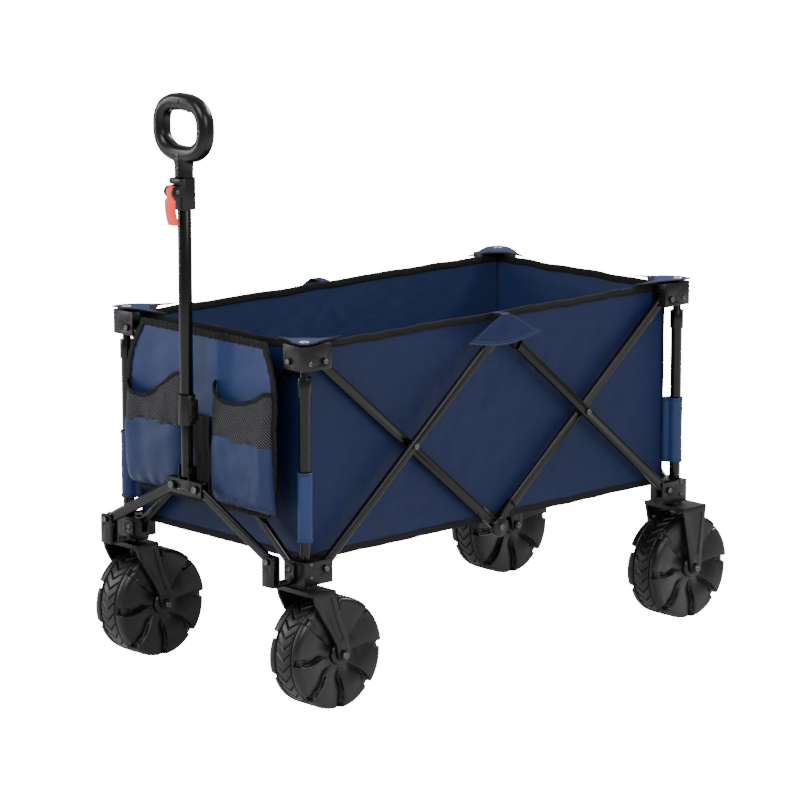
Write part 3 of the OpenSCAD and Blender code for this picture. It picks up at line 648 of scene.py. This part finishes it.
def declare(piece, points, flat=None):
    """Works out how large the sheet was cut, from its widest row and its middle column, and its own area,
    keeps none of it and hands the piece back.
    """
    if flat is None:
        flat = (np.linalg.norm(np.diff(points, axis=1), axis=2).sum(1).max(),
                np.median(np.linalg.norm(np.diff(points, axis=0), axis=2).sum(0)))
    a, b = points[1:, 1:] - points[:-1, :-1], points[1:, :-1] - points[:-1, 1:]
    area = 0.5 * np.linalg.norm(np.cross(a, b), axis=2).sum()
    return piece


def fold_y(piece):
    """Gives the piece its own copy of its mesh; it is not made to crumple as the frame folds."""
    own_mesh(piece)


def fold_x(piece):
    """Gives the piece its own copy of its mesh; it is not made to crumple as the frame folds."""
    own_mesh(piece)


def band_section(half_side, half_up, count=20):
    """A flat rounded strip's section."""
    return oval(half_side, half_up, count, 3.6)


def stitches(name, path, normal, body, material=None, pitch=0.0045, length=0.0030, wide=0.0005):
    """A row of raised stitches along a path: each is a short six-sided bead, lifted along normal."""
    path = np.asarray(path, float)
    steps = np.linalg.norm(np.diff(path, axis=0), axis=1)
    run = np.concatenate([[0], np.cumsum(steps)])
    starts = np.arange(pitch / 2, run[-1] - pitch / 2, pitch)
    ends = np.stack([np.stack([np.interp(starts + d, run, path[:, i]) for i in range(3)], 1)
                     for d in np.linspace(-length / 2, length / 2, 5)], 1)
    normal = np.broadcast_to(np.asarray(normal, float), ends.shape[:1] + (3,))
    along = ends[:, -1] - ends[:, 0]
    along = along / np.linalg.norm(along, axis=1, keepdims=True)
    side = np.cross(normal, along)
    swell = np.array([0.15, 0.9, 1.0, 0.9, 0.15]) * wide
    turn = np.linspace(0, 2 * np.pi, 6, endpoint=False)
    ring = (side[:, None, None] * np.cos(turn)[None, None, :, None]
            + normal[:, None, None] * np.sin(turn)[None, None, :, None]) * swell[None, :, None, None]
    points = ends[:, :, None] + ring
    count = len(starts)
    base = grid_faces(5, 6, False, True)
    faces = (base[None] + (np.arange(count) * 30)[:, None, None]).reshape(-1, 4)
    caps = np.array([[5, 4, 3, 2, 1, 0], [24, 25, 26, 27, 28, 29]])
    caps = (caps[None] + (np.arange(count) * 30)[:, None, None]).reshape(-1, 6)
    return make(name, points.reshape(-1, 3), faces.tolist() + caps.tolist(), [material or THREAD], body)


def edge_trim(label, place, wave, normal, body):
    """Black binding along a wall's rim, black hem along its foot, and stitches under the binding."""
    rim, foot = place(-0.0008, RIM_Z - 0.0055 + wave), place(-0.0008, TUB_Z + 0.0040 + 0.6 * wave)
    binding = band(f"rim_binding_{label}", rim, band_section(0.0024, 0.0064), body)
    hem = band(f"bottom_hem_{label}", foot, band_section(0.0020, 0.0060, 14), body)
    seam = stitches(f"rim_stitch_{label}", place(0.0019, RIM_Z - 0.0098 + wave), normal, body, BINDING)
    return binding, hem, seam


def side_wall(s):
    """A long wall: x leans out by a few millimetres of creases, pulled at the corners and under the flap.

    lean(y, z) = sag * sin(pi u) * sin(pi v) + creases + pulls from the four corners, in millimetres.
    """
    hand = SIDES[s]
    body = f"rear_{hand}_top"
    y = np.linspace(-WALL_Y, WALL_Y, 190)[None, :]
    z = np.linspace(TUB_Z, RIM_Z - 0.002, 84)[:, None]
    u, v = (y + WALL_Y) / (2 * WALL_Y), (z - TUB_Z) / (RIM_Z - TUB_Z)
    hold = np.sin(np.pi * u.clip(0, 1)) ** 0.4 * np.sin(np.pi * v.clip(0, 1)) ** 0.5
    lean = -3.0 * np.sin(np.pi * u) * np.sin(np.pi * v) + 0.75 * creases(y, z, 11 + s) + 0.3 * creases(
        y, z, 31 + s, 8, 0.35)
    for at, angle in (((-WALL_Y, RIM_Z), -0.6), ((WALL_Y, RIM_Z), math.pi + 0.6), ((-WALL_Y, TUB_Z), 0.5),
                      ((WALL_Y, TUB_Z), math.pi - 0.5)):
        for turn, high_by in ((-0.16, 2.0), (0.05, -1.8), (0.22, 1.5)):
            lean = lean + high_by * pull(y, z, at, angle + turn, 0.10, 0.014)
    for turn, high_by in ((-2.25, 1.4), (-1.75, -1.4), (-1.3, 1.2), (-0.9, -1.0)):
        lean = lean + high_by * pull(y, z, (0.0, RIM_Z - 0.03), turn, 0.10, 0.013)
    x = s * (WALL_X - 0.0003 + 0.001 * np.clip(lean * hold, -7, 2.6))
    points = grid_of(x, y + SHIFT, z)
    points = points if s > 0 else points[:, ::-1]
    wall = cloth(f"long_wall_{hand}", points, body, NAVY, NAVY_IN)
    declare(wall, points)
    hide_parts(f"tub_wall_{hand}")
    ends = np.linspace(-WALL_Y - 0.0016, WALL_Y + 0.0016, 120)
    wave = 0.0009 * creases(ends, 0 * ends, 5 + s, 6)

    def place(off, height):
        """Points along the wall's plane moved out by off."""
        return np.stack([s * (WALL_X + off) + 0 * ends, ends + SHIFT, height], 1)

    pieces = [wall, *edge_trim(hand, place, wave, (s, 0, 0), body)]
    rise = np.linspace(TUB_Z + 0.006, RIM_Z - 0.010, 60)
    for e, corner in ((-1, "front"), (1, "rear")):
        y = SHIFT + e * (WALL_Y + 0.0006) + 0.0006 * np.sin(rise * 60)
        path = np.stack([s * WALL_X + 0 * rise, y, rise], 1)
        pieces.append(band(f"corner_cord_{hand}_{corner}", path, oval(0.0018, 0.0018, 10), body, (1, 0, 0)))
    for piece in pieces:
        fold_y(piece)


def end_wall(e):
    """A short wall with the same kind of creases as the long ones."""
    end = "rear" if e > 0 else "front"
    body = f"{end}_right_top"
    x = np.linspace(-WALL_X + 0.0018, WALL_X - 0.0018, 110)[None, :]
    z = np.linspace(TUB_Z, RIM_Z - 0.002, 84)[:, None]
    u, v = (x + WALL_X) / (2 * WALL_X), (z - TUB_Z) / (RIM_Z - TUB_Z)
    hold = np.sin(np.pi * u.clip(0, 1)) ** 0.4 * np.sin(np.pi * v.clip(0, 1)) ** 0.5
    lean = -3.0 * np.sin(np.pi * u) * np.sin(np.pi * v) + 0.8 * creases(x, z, 17 + e) + 0.3 * creases(
        x, z, 37 + e, 8, 0.35)
    for at, angle in (((-WALL_X, RIM_Z), -0.8), ((WALL_X, RIM_Z), math.pi + 0.8)):
        for turn, high_by in ((-0.2, 1.8), (0.1, -1.5), (0.35, 1.2)):
            lean = lean + high_by * pull(x, z, at, angle + turn, 0.08, 0.012)
    y = SHIFT + e * (WALL_Y - 0.0003 + 0.001 * np.clip(lean * hold, -7, 2.2))
    points = grid_of(x, y, z)
    points = points[:, ::-1] if e > 0 else points
    wall = cloth(f"short_wall_{end}", points, body, NAVY, NAVY_IN)
    declare(wall, points)
    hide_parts(f"tub_wall_{end}")
    across = np.linspace(-WALL_X - 0.001, WALL_X + 0.001, 60)
    wave = 0.0008 * creases(across, 0 * across, 9 + e, 6)

    def place(off, height):
        """Points along the wall's plane moved out by off."""
        return np.stack([across, SHIFT + e * (WALL_Y + off) + 0 * across, height], 1)

    for piece in (wall, *edge_trim(end, place, wave, (0, e, 0), body)):
        fold_x(piece)


def floor_panels():
    """Four padded mat panels with crowned tops, and the floor cloth below each."""
    half_x, half_y = high("floor_mat")[0], high("floor_mat")[1] - SHIFT
    base = low("floor_mat")[2]
    cuts = np.array([-1, -0.5, 0, 0.5, 1]) * half_y
    riders = ("front_right_top", "right_front_inner", "right_rear_inner", "rear_right_top")
    for count, (y0, y1, body) in enumerate(zip(cuts[:-1], cuts[1:], riders)):
        turn = np.linspace(-1, 1, 72)[None, :]
        along = np.linspace(-1, 1, 44)[:, None]
        x, y = half_x * turn, (y0 + y1) / 2 + (y1 - y0) / 2 * along * 0.995
        fall = (1 - np.abs(turn) ** 14) ** 0.5 * (1 - np.abs(along) ** 10) ** 0.5
        crown = 0.0016 + (MAT_Z - base - 0.0016) * fall
        crown = crown - 0.0004 * creases(x, y, 50 + count, 7, 0.5) * fall
        top = grid_of(x, y + SHIFT, base + crown)
        under = grid_of(x, y + SHIFT, base + 0.0002 + 0 * crown)
        quads = grid_faces(*top.shape[:2])
        many = top.shape[0] * top.shape[1]
        faces = np.concatenate([quads, quads[:, ::-1] + many, skirt([outline(*top.shape[:2])], many)])
        pad = make(f"mat_panel_{count}", np.concatenate([top.reshape(-1, 3), under.reshape(-1, 3)]), faces,
                   [NAVY_IN], body)
        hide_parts("floor_mat")
        edge = np.linspace(-1, 1, 50)
        path = np.stack([half_x * edge, 0 * edge + y1 * 0.9975 + SHIFT - 0.0012, 0 * edge + base + 0.0028], 1)
        piping = band(f"mat_piping_{count}", path, oval(0.0013, 0.0013, 10), body)
        z = low("tub_floor")[2]
        fx, fy = high("tub_floor")[0], high("tub_floor")[1] - SHIFT
        lengths = np.linspace(y0 / half_y * fy, y1 / half_y * fy, 24)[:, None]
        widths = np.linspace(-fx, fx, 48)[None, :]
        sheet = grid_of(widths, lengths + SHIFT, z + 0.0013 + 0.0 * widths * lengths)
        panel = cloth(f"floor_cloth_{count}", sheet, body, NAVY_IN, BINDING)
        declare(panel, sheet)
        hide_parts("tub_floor")
        for piece in (pad, panel, piping):
            fold_x(piece)


def flap(s):
    """The hood over the middle crossing: it leaves the rim, rounds over and hangs, spreading to both sides.

    Half width = 9 + 73 * down^0.9 mm; the lower edge is 38 mm below the rim at the tips and 49 in the middle.
    """
    hand = SIDES[s]
    body = f"rear_{hand}_top"
    plane = POST_X + 0.0165
    across = np.linspace(-1, 1, 72)[None, :]
    down = np.linspace(0, 1, 48)[:, None]
    hang = np.clip((down - 0.25) / 0.75, 0, 1)
    half = 0.009 + 0.073 * hang ** 0.9
    y = across * half
    depth = (0.038 + 0.011 * (1 - np.abs(across) ** 1.6)) * hang
    lift = np.clip(down / 0.25, 0, 1)
    x = (WALL_X + 0.002) + (plane - WALL_X - 0.002) * np.sin(lift * np.pi / 2)
    z = RIM_Z + 0.0012 + 0.0020 * np.sin(lift * np.pi) - depth
    x = x + 0.0012 * hang * np.sin(across * 5.0 + 1) * (1 - np.abs(across))
    x = x + 0.0005 * creases(y, z, 70 + s, 6, 0.4) * hang
    x = x - 0.0022 * hang * np.abs(across) ** 2
    points = grid_of(s * x, y + SHIFT, z)
    points = points[:, ::-1] if s > 0 else points
    piece = cloth(f"crossing_flap_{hand}", points, body, NAVY, NAVY_IN, 0.0012)
    declare(piece, points)
    normal = outward(points)
    lifted = points + normal * 0.0001
    seam = stitches(f"flap_stitch_{hand}", lifted[-4], (s, 0, 0), body)
    sides = [stitches(f"flap_side_stitch_{hand}_{edge}", lifted[14:-4, column], (s, 0, 0), body)
             for edge, column in (("a", 3), ("b", -4))]
    lip = band(f"flap_hem_{hand}", points[-1] - normal[-1] * 0.0006, oval(0.0011, 0.0014, 10), body,
               material=NAVY_LIGHT)
    for made in (piece, seam, lip, *sides):
        fold_y(made)


def gusset(corner):
    """The corner piece over a post top: a flat sheet with two tips along the rims, and a metal eyelet. Its
    top is drawn in the lighter mid navy, a painted highlight where the top faces catch light.
    """
    sx, sy = CORNERS[corner]
    body = f"{corner}_top"
    centre = post(corner)
    z = high(f"upper_bracket_{corner}")[2] + 0.0006
    inset = POST_X - WALL_X
    out = 0.0195
    shape = np.array([[-out, -out + 0.006], [-out + 0.006, -out], [0.010, -out + 0.001], [0.060, 0.006],
                        [0.084, inset - 0.001], [0.084, inset + 0.0025], [inset + 0.036, inset + 0.0035],
                        [inset + 0.0035, inset + 0.036], [inset + 0.0025, 0.092], [inset - 0.001, 0.092],
                        [0.006, 0.062], [-out + 0.001, 0.010]])
    steps = np.diff(np.vstack([shape, shape[:1]]), axis=0)
    run = np.concatenate([[0], np.cumsum(np.linalg.norm(steps, axis=1))])
    spots = np.linspace(0, run[-1], 120, endpoint=False)
    loop = np.stack([np.interp(spots, run, np.append(shape[:, i], shape[0, i])) for i in range(2)], 1)
    start = np.argmin(np.abs(np.arctan2(loop[:, 1], loop[:, 0]) + np.pi * 0.75))
    loop = np.roll(loop, -start, 0)
    angle = np.arctan2(loop[:, 1], loop[:, 0])
    hole = 0.0052 * np.stack([np.cos(angle), np.sin(angle)], 1)
    share = np.linspace(0, 1, 16)[:, None, None]
    flat = hole[None] * (1 - share) + loop[None] * share
    reach = np.hypot(flat[..., 0], flat[..., 1])
    drop = 0.0035 * smooth_step(reach, 0.018, 0.085)
    ripple = creases(flat[..., 0], flat[..., 1], 90, 6, 0.4)
    height = z + 0.0010 - drop + 0.0004 * ripple * smooth_step(reach, 0.016, 0.03)
    points = np.stack([centre[0] - sx * flat[..., 0], centre[1] - sy * flat[..., 1], height], 2)
    points = points[:, ::-1] if sx * sy > 0 else points
    # The gusset's top side takes the lighter mid navy: a painted highlight where it catches light.
    piece = cloth(f"corner_gusset_{corner}", points, body, NAVY_MID_AND_HIGHLIGHT, NAVY_IN, 0.0010, edge=BINDING,
                  closed=True, bound=4)
    declare(piece, points, np.ptp(loop, axis=0))
    circle = np.linspace(0, 2 * np.pi, 40, endpoint=False)
    ring = centre + np.stack([0.0062 * np.cos(circle), 0.0062 * np.sin(circle), 0 * circle + z + 0.0013], 1)
    sweep(f"eyelet_{corner}", ring, oval(0.0020, 0.0011, 12), (0, 0, 1), BRIGHT, body,
          closed=True)


def sleeve(corner):
    """The cloth tube round a post: a teardrop section, round on the post, pinched towards the tub."""
    sx, sy = CORNERS[corner]
    centre = post(corner)
    z = np.linspace(0.276, 0.390, 40)[:, None]
    turn = np.linspace(0, 2 * np.pi, 72, endpoint=False)[None, :]
    inward = math.atan2(-sy, -sx)
    away = np.abs((turn - inward + np.pi) % (2 * np.pi) - np.pi)
    r = 0.0119 + 0.0110 * np.exp(-((away / 0.30) ** 2)) + 0.00018 * creases(turn * 0.02, z, 120, 6, 0.6)
    points = grid_of(centre[0] + r * np.cos(turn), centre[1] + r * np.sin(turn), z)
    piece = cloth(f"post_sleeve_{corner}", points, f"{corner}_corner", NAVY_MID_AND_HIGHLIGHT, NAVY_IN, 0.0010, closed=True)
    declare(piece, points[:, np.arange(73) % 72])
    for z0 in (0.279, 0.387):
        spin = np.linspace(0, 2 * np.pi, 60, endpoint=False)
        away = np.abs((spin - inward + np.pi) % (2 * np.pi) - np.pi)
        r0 = 0.0121 + 0.0110 * np.exp(-((away / 0.30) ** 2))
        path = centre + np.stack([r0 * np.cos(spin), r0 * np.sin(spin), 0 * spin + z0], 1)
        band(f"sleeve_hem_{corner}_{'low' if z0 < 0.3 else 'high'}", path, oval(0.0009, 0.0024, 10),
             f"{corner}_corner", material=NAVY_LIGHT, closed=True)


PANEL_Y = high("organiser")[1]
PANEL_LOW = low("organiser")[2]
NET_Z = low("mesh_pockets")[2]
POCKET_OUT = high("mesh_pockets")[0]
PANEL_FOOT = PANEL_LOW + 0.007
PANEL_TOP = RIM_Z - 0.004
PANEL_EDGE = np.array([[PANEL_FOOT, 0.150], [PANEL_FOOT + 0.012, 0.164], [PANEL_FOOT + 0.045, 0.175],
                       [0.42, 0.1795], [0.50, 0.1805], [0.528, 0.178], [0.555, 0.167], [PANEL_TOP, 0.148]])


def panel_half(z):
    """Half the panel's width at a height: its outline's numbers, eased with a short moving mean."""
    spots = np.linspace(PANEL_FOOT, PANEL_TOP, 121)
    wide = np.interp(spots, PANEL_EDGE[:, 0], PANEL_EDGE[:, 1])
    padded = np.concatenate([np.full(6, wide[0]), wide, np.full(6, wide[-1])])
    return np.interp(z, spots, np.convolve(padded, np.ones(13) / 13, "valid"))


def panel_lean(x, z):
    """How far the organiser's panel stands forward, in metres: creases, and free edges that lift."""
    edge = np.clip(np.abs(x) / panel_half(z), 0, 1)
    rise = np.sin(np.pi * np.clip((z - PANEL_LOW) / (RIM_Z - PANEL_LOW), 0, 1)) ** 0.7
    waves = 1 + 0.6 * creases(x, z, 210, 8, 0.8)
    return 0.0012 + 0.0075 * smooth_step(edge, 0.72, 1.0) * rise + 0.0016 * rise * waves


def organiser():
    """The hanging panel, its black-bound edge, and the two pockets with netting tops."""
    body = "front_right_top"
    z = np.linspace(PANEL_FOOT, PANEL_TOP, 96)[:, None]
    share = np.linspace(-1, 1, 120)[None, :]
    x = share * panel_half(z)
    y = PANEL_Y - panel_lean(x, z)
    points = grid_of(x, y, z)
    panel = cloth("organiser_panel", points, body, NAVY_MID_AND_HIGHLIGHT, BINDING)
    declare(panel, points)
    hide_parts("organiser", "mesh_pockets")
    loop = np.concatenate([points[0], points[1:, -1], points[-1, -2::-1], points[-2:0:-1, 0]])
    run = np.arange(len(loop))[:, None, None]
    section = band_section(0.0056, 0.0032, 14)[None] * (1 + 0.16 * np.sin(run * 1.1) * np.sin(run * 0.23))
    edge = band("organiser_binding", loop + np.array([0, 0.0002, 0]), section, body, (0, 1, 0), closed=True)
    # A black band hangs at the middle of the panel, between the pockets, standing a few millimetres off it.
    height = np.linspace(0.452, PANEL_FOOT + 0.004, 60)[:, None]
    width = np.linspace(-0.021, 0.021, 12)[None, :]
    stand = 0.006 + 0.003 * np.sin((height - PANEL_FOOT) * 70) + 0.001 * np.sin(width * 300)
    depth = PANEL_Y - panel_lean(width, height) - stand
    black_band_points = grid_of(width, depth, height)[::-1]
    black_band = cloth("centre_strap", black_band_points, body, BINDING, BINDING, 0.0014)
    declare(black_band, black_band_points)
    pieces = [panel, edge, black_band]
    for s in (-1, 1):
        pieces += pocket(s, body)
    for piece in pieces:
        fold_x(piece)


MOUTH = {
    1: ([0, 0.05, 0.13, 0.28, 0.42, 0.60, 0.80, 0.95, 1],
        [0.512, 0.500, 0.488, 0.484, 0.484, 0.490, 0.503, 0.514, 0.512]),
    -1: ([0, 0.06, 0.16, 0.32, 0.48, 0.66, 0.84, 0.95, 1],
         [0.486, 0.476, 0.468, 0.466, 0.474, 0.492, 0.510, 0.516, 0.510]),
}


def pocket(s, body):
    """One pocket, on u across and v up: a pouch of cloth, then netting above it with a sagging bound mouth.

    Depth = 24 mm * (1 - |2u - 1|^9)^0.5, rounded in at the foot, and falling back in folds towards the mouth.
    """
    side = SIDES[s]
    x0, x1 = (POCKET_IN - 0.010, POCKET_OUT - 0.006) if s > 0 else (-POCKET_OUT + 0.006, -POCKET_IN)
    u = 0.5 - 0.5 * np.cos(np.linspace(0, np.pi, 96))[None, :]
    foot_z = PANEL_FOOT + 0.005

    def surface(v, z0, z1, spare, slack):
        """Points over heights z0(u) to z1(u)."""
        z = z0 + (z1 - z0) * v
        x = x0 + (x1 - x0) * u
        arch = np.clip(1 - np.abs(2 * u - 1) ** 9, 0, 1) ** 0.5
        foot = np.clip((z - foot_z + 0.001) / 0.024, 0, 1)
        foot = np.sqrt(1 - (1 - foot) ** 2)
        up = smooth_step(z, NET_Z, NET_Z + 0.075)
        belly = 0.90 + 0.10 * np.sin(np.pi * np.clip((z - foot_z) / (NET_Z - foot_z), 0, 1))
        folds = 0.0011 * creases(x, z, 300 + s, 9, 0.6) + slack * creases(x, z, 330 + s, 7, 0.3)
        pleats = 0.0013 * np.sin(u * 30 + 2 * s) * (1 - smooth_step(z, foot_z, foot_z + 0.045))
        deep = (0.0232 + spare) * belly * (1 - up * (0.30 + 0.25 * np.sin(np.pi * u)))
        y = PANEL_Y - panel_lean(x, z) - 0.0008 - np.clip((deep + folds + pleats) * arch * foot, 0.0, 0.0255)
        return grid_of(x, y, z)

    split = NET_Z + 0.002 * np.sin(u * 5 + s) + 0.003 * u
    pouch = surface(np.linspace(0, 1, 70)[:, None], foot_z + 0 * u, split, 0.0, 0.0)
    lower = cloth(f"pocket_{side}", pouch, body, NAVY_LIGHT, NAVY_IN, 0.0011)
    declare(lower, pouch)
    knots, heights = MOUTH[s]
    mouth = np.interp(u[0], knots, heights)
    mouth = np.convolve(np.pad(mouth, 5, "edge"), np.ones(11) / 11, "valid")[None, :]
    net = surface(np.linspace(0, 1, 60)[:, None], split - 0.004, mouth, -0.0009, 0.0016)
    run_u, run_v = [np.cumsum(np.linalg.norm(np.diff(net, axis=axis), axis=2), axis) for axis in (1, 0)]
    run_u, run_v = np.pad(run_u, ((0, 0), (1, 0))), np.pad(run_v, ((1, 0), (0, 0)))
    uv = np.stack([run_u, run_v], 2) / 0.0050
    upper = cloth(f"netting_{side}", net, body, MESH, BINDING, 0.0005, uv)
    declare(upper, net)
    lip = sweep(f"pocket_mouth_{side}", net[-1] + np.array([0, 0.0003, 0]), band_section(0.0012, 0.0036, 12),
                (0, 0, 1), BINDING, body)
    row = pouch[-3] - np.array([0, 0.0003, 0.001])
    thread = stitches(f"pocket_stitch_{side}", row, (0, -1, 0), body, pitch=0.0038)
    return [lower, upper, lip, thread]


PLATE_SCREWS = {
    "top": (("a", -0.001, 0.0040),),
    "low": (("a", 0.0108, 0.0030), ("b", -0.0108, 0.0030)),
}


def frame_screws():
    """Pan-head screws over the bracket pins, the bar crossings, the hub and the channels."""
    face = POST_X + 0.0150 + 0.0022
    drop, rise_z = joint("fold")[2], joint("right_mid_top")[2]
    side_y = joint("right_front_corner_pivot")[1] - FRONT_Y
    end_x = POST_X - joint("front_end_pivot")[0]
    for corner, (sx, sy) in CORNERS.items():
        x, y, _ = post(corner)
        for height, level, part in ((drop, "low", "corner"), (rise_z, "top", "top")):
            body = f"{corner}_{part}"
            label = f"{corner}_{level}"
            screw(f"side_screw_{label}", (sx * face, y - sy * side_y, height), (sx, 0, 0), 0.0046, body)
            screw(f"end_screw_{label}", (x - sx * end_x, y + sy * 0.0172, height), (0, sy, 0), 0.0046, body)
            for step, dz, radius in PLATE_SCREWS[level]:
                place = (sx * (POST_X + 0.0151), y + sy * 0.001, height + dz)
                screw(f"plate_screw_{label}_{step}", place, (sx, 0, 0), radius, body)
    out = POST_X + 0.006 + 0.0055 + 0.0023
    for hand, s in (("right", 1), ("left", -1)):
        cross = joint(f"{hand}_rear_cross")
        for end, y in (("rear", cross[1]), ("front", 2 * SHIFT - cross[1])):
            bar = f"{hand}_{end}_outer"
            screw(f"cross_screw_{hand}_{end}", (s * out, y, cross[2]), (s, 0, 0), 0.0050, bar)
        for level, spot in (("top", joint(f"{hand}_mid_top")), ("low", joint(f"{hand}_mid_bottom"))):
            body = f"{hand}_front_{'outer' if level == 'top' else 'inner'}"
            lift = out if level == "top" else POST_X - 0.006 + 0.0055 + 0.007 + 0.0023
            screw(f"middle_screw_{hand}_{level}", (s * lift, spot[1], spot[2]), (s, 0, 0), 0.0050, body)
    for hand, s in (("right", 1), ("left", -1)):
        spot = joint(f"{hand}_mid_bottom")
        path = np.array([[s * d, spot[1], spot[2]] for d in (0.2202, 0.2268, 0.2284)])
        rings = np.stack([oval(r, r, 48) for r in (0.0168, 0.0168, 0.0154)])
        sweep(f"pivot_cover_{hand}", path, rings, (0, 0, 1), PLASTIC, f"{hand}_front_inner")
    front = HANDLE_Y - 0.0045 - 0.0004 - 0.003 - 0.0023
    hub_x, hub_z = joint("hub_pivot")[0], joint("hub_pivot")[2]
    screw("hub_screw_right", (hub_x, front, hub_z), (0, -1, 0), 0.0060, "hub")
    screw("hub_screw_left", (-hub_x, front - 0.0005, hub_z), (0, -1, 0), 0.0060, "v_left")
    for hand, s in (("right", 1), ("left", -1)):
        spot = joint(f"v_{hand}_pivot")
        screw(f"channel_screw_{hand}", (spot[0], front, spot[2]), (0, -1, 0), 0.0048, f"front_{hand}_corner")
    for corner in CORNERS:
        end, hand = corner.split("_")
        axle = joint(f"{end}_wheel_spin_{hand}")
        body = f"caster_{hand}" if end == "front" else f"rear_{hand}_corner"
        reach = (high(f"axle_{corner}")[0] - low(f"axle_{corner}")[0]) / 2
        for s in (-1, 1):
            place = axle + np.array([s * (reach - 0.0006), 0, 0])
            screw(f"axle_screw_{corner}_{SIDES[s]}", place, (s, 0, 0), 0.0052, body)


for side in (-1, 1):
    side_wall(side)
    end_wall(side)
    flap(side)
floor_panels()
organiser()
frame_screws()
for name in CORNERS:
    gusset(name)
    sleeve(name)

# ---------- camera, light and floor ----------

TURN, RISE, AWAY = math.radians(46.68), math.radians(11.52), 6.544
back = Vector((math.sin(TURN) * math.cos(RISE), -math.cos(TURN) * math.cos(RISE), math.sin(RISE)))
eye = bpy.data.cameras.new("camera")
eye.lens = 173.97
eye.shift_x = -0.00914
eye.shift_y = -0.0131
camera = bpy.data.objects.new("camera", eye)
camera.location = Vector((0, SHIFT, 0.4305)) + back * AWAY
camera.rotation_euler = (-back).to_track_quat("-Z", "Y").to_euler()
bpy.context.scene.collection.objects.link(camera)
bpy.context.scene.camera = camera

bpy.ops.mesh.primitive_plane_add(size=80, location=(0, 0, 0))
ground = bpy.context.object
ground.name = "ground"
paper = bpy.data.materials.new("pale_floor")
paper.use_nodes = True
surface = paper.node_tree.nodes["Principled BSDF"].inputs
surface["Base Color"].default_value = (0.90, 0.90, 0.90, 1)
surface["Roughness"].default_value = 0.9
surface["Emission Color"].default_value = (1, 1, 1, 1)
seen = paper.node_tree.nodes.new("ShaderNodeLightPath")
glow = math_node(paper.node_tree.nodes, paper.node_tree.links, "MULTIPLY",
                 seen.outputs["Is Camera Ray"], 16.0)
paper.node_tree.links.new(glow, surface["Emission Strength"])
ground.data.materials.append(paper)

world = bpy.data.worlds.new("studio")
bpy.context.scene.world = world
world.use_nodes = True
world.node_tree.nodes["Background"].inputs["Color"].default_value = (1, 1, 1, 1)
world.node_tree.nodes["Background"].inputs["Strength"].default_value = 0.45


def softbox(name, place, aim, size, power):
    """A large area light."""
    light = bpy.data.lights.new(name, "AREA")
    light.shape = "RECTANGLE"
    light.size, light.size_y = size
    light.energy = power
    box = bpy.data.objects.new(name, light)
    box.location = place
    box.rotation_euler = (Vector(aim) - Vector(place)).to_track_quat("-Z", "Y").to_euler()
    bpy.context.scene.collection.objects.link(box)


softbox("key", (0.5, -3.0, 3.2), (0, 0, 0.4), (2.4, 2.0), 130)
softbox("fill", (3.2, -0.6, 2.0), (0, 0, 0.4), (2.0, 1.6), 60)
softbox("back", (0.4, 2.9, 3.0), (0, 0, 0.5), (2.6, 0.9), 150)
softbox("edge", (-2.6, -2.2, 1.4), (0, 0, 0.5), (0.35, 2.0), 40)
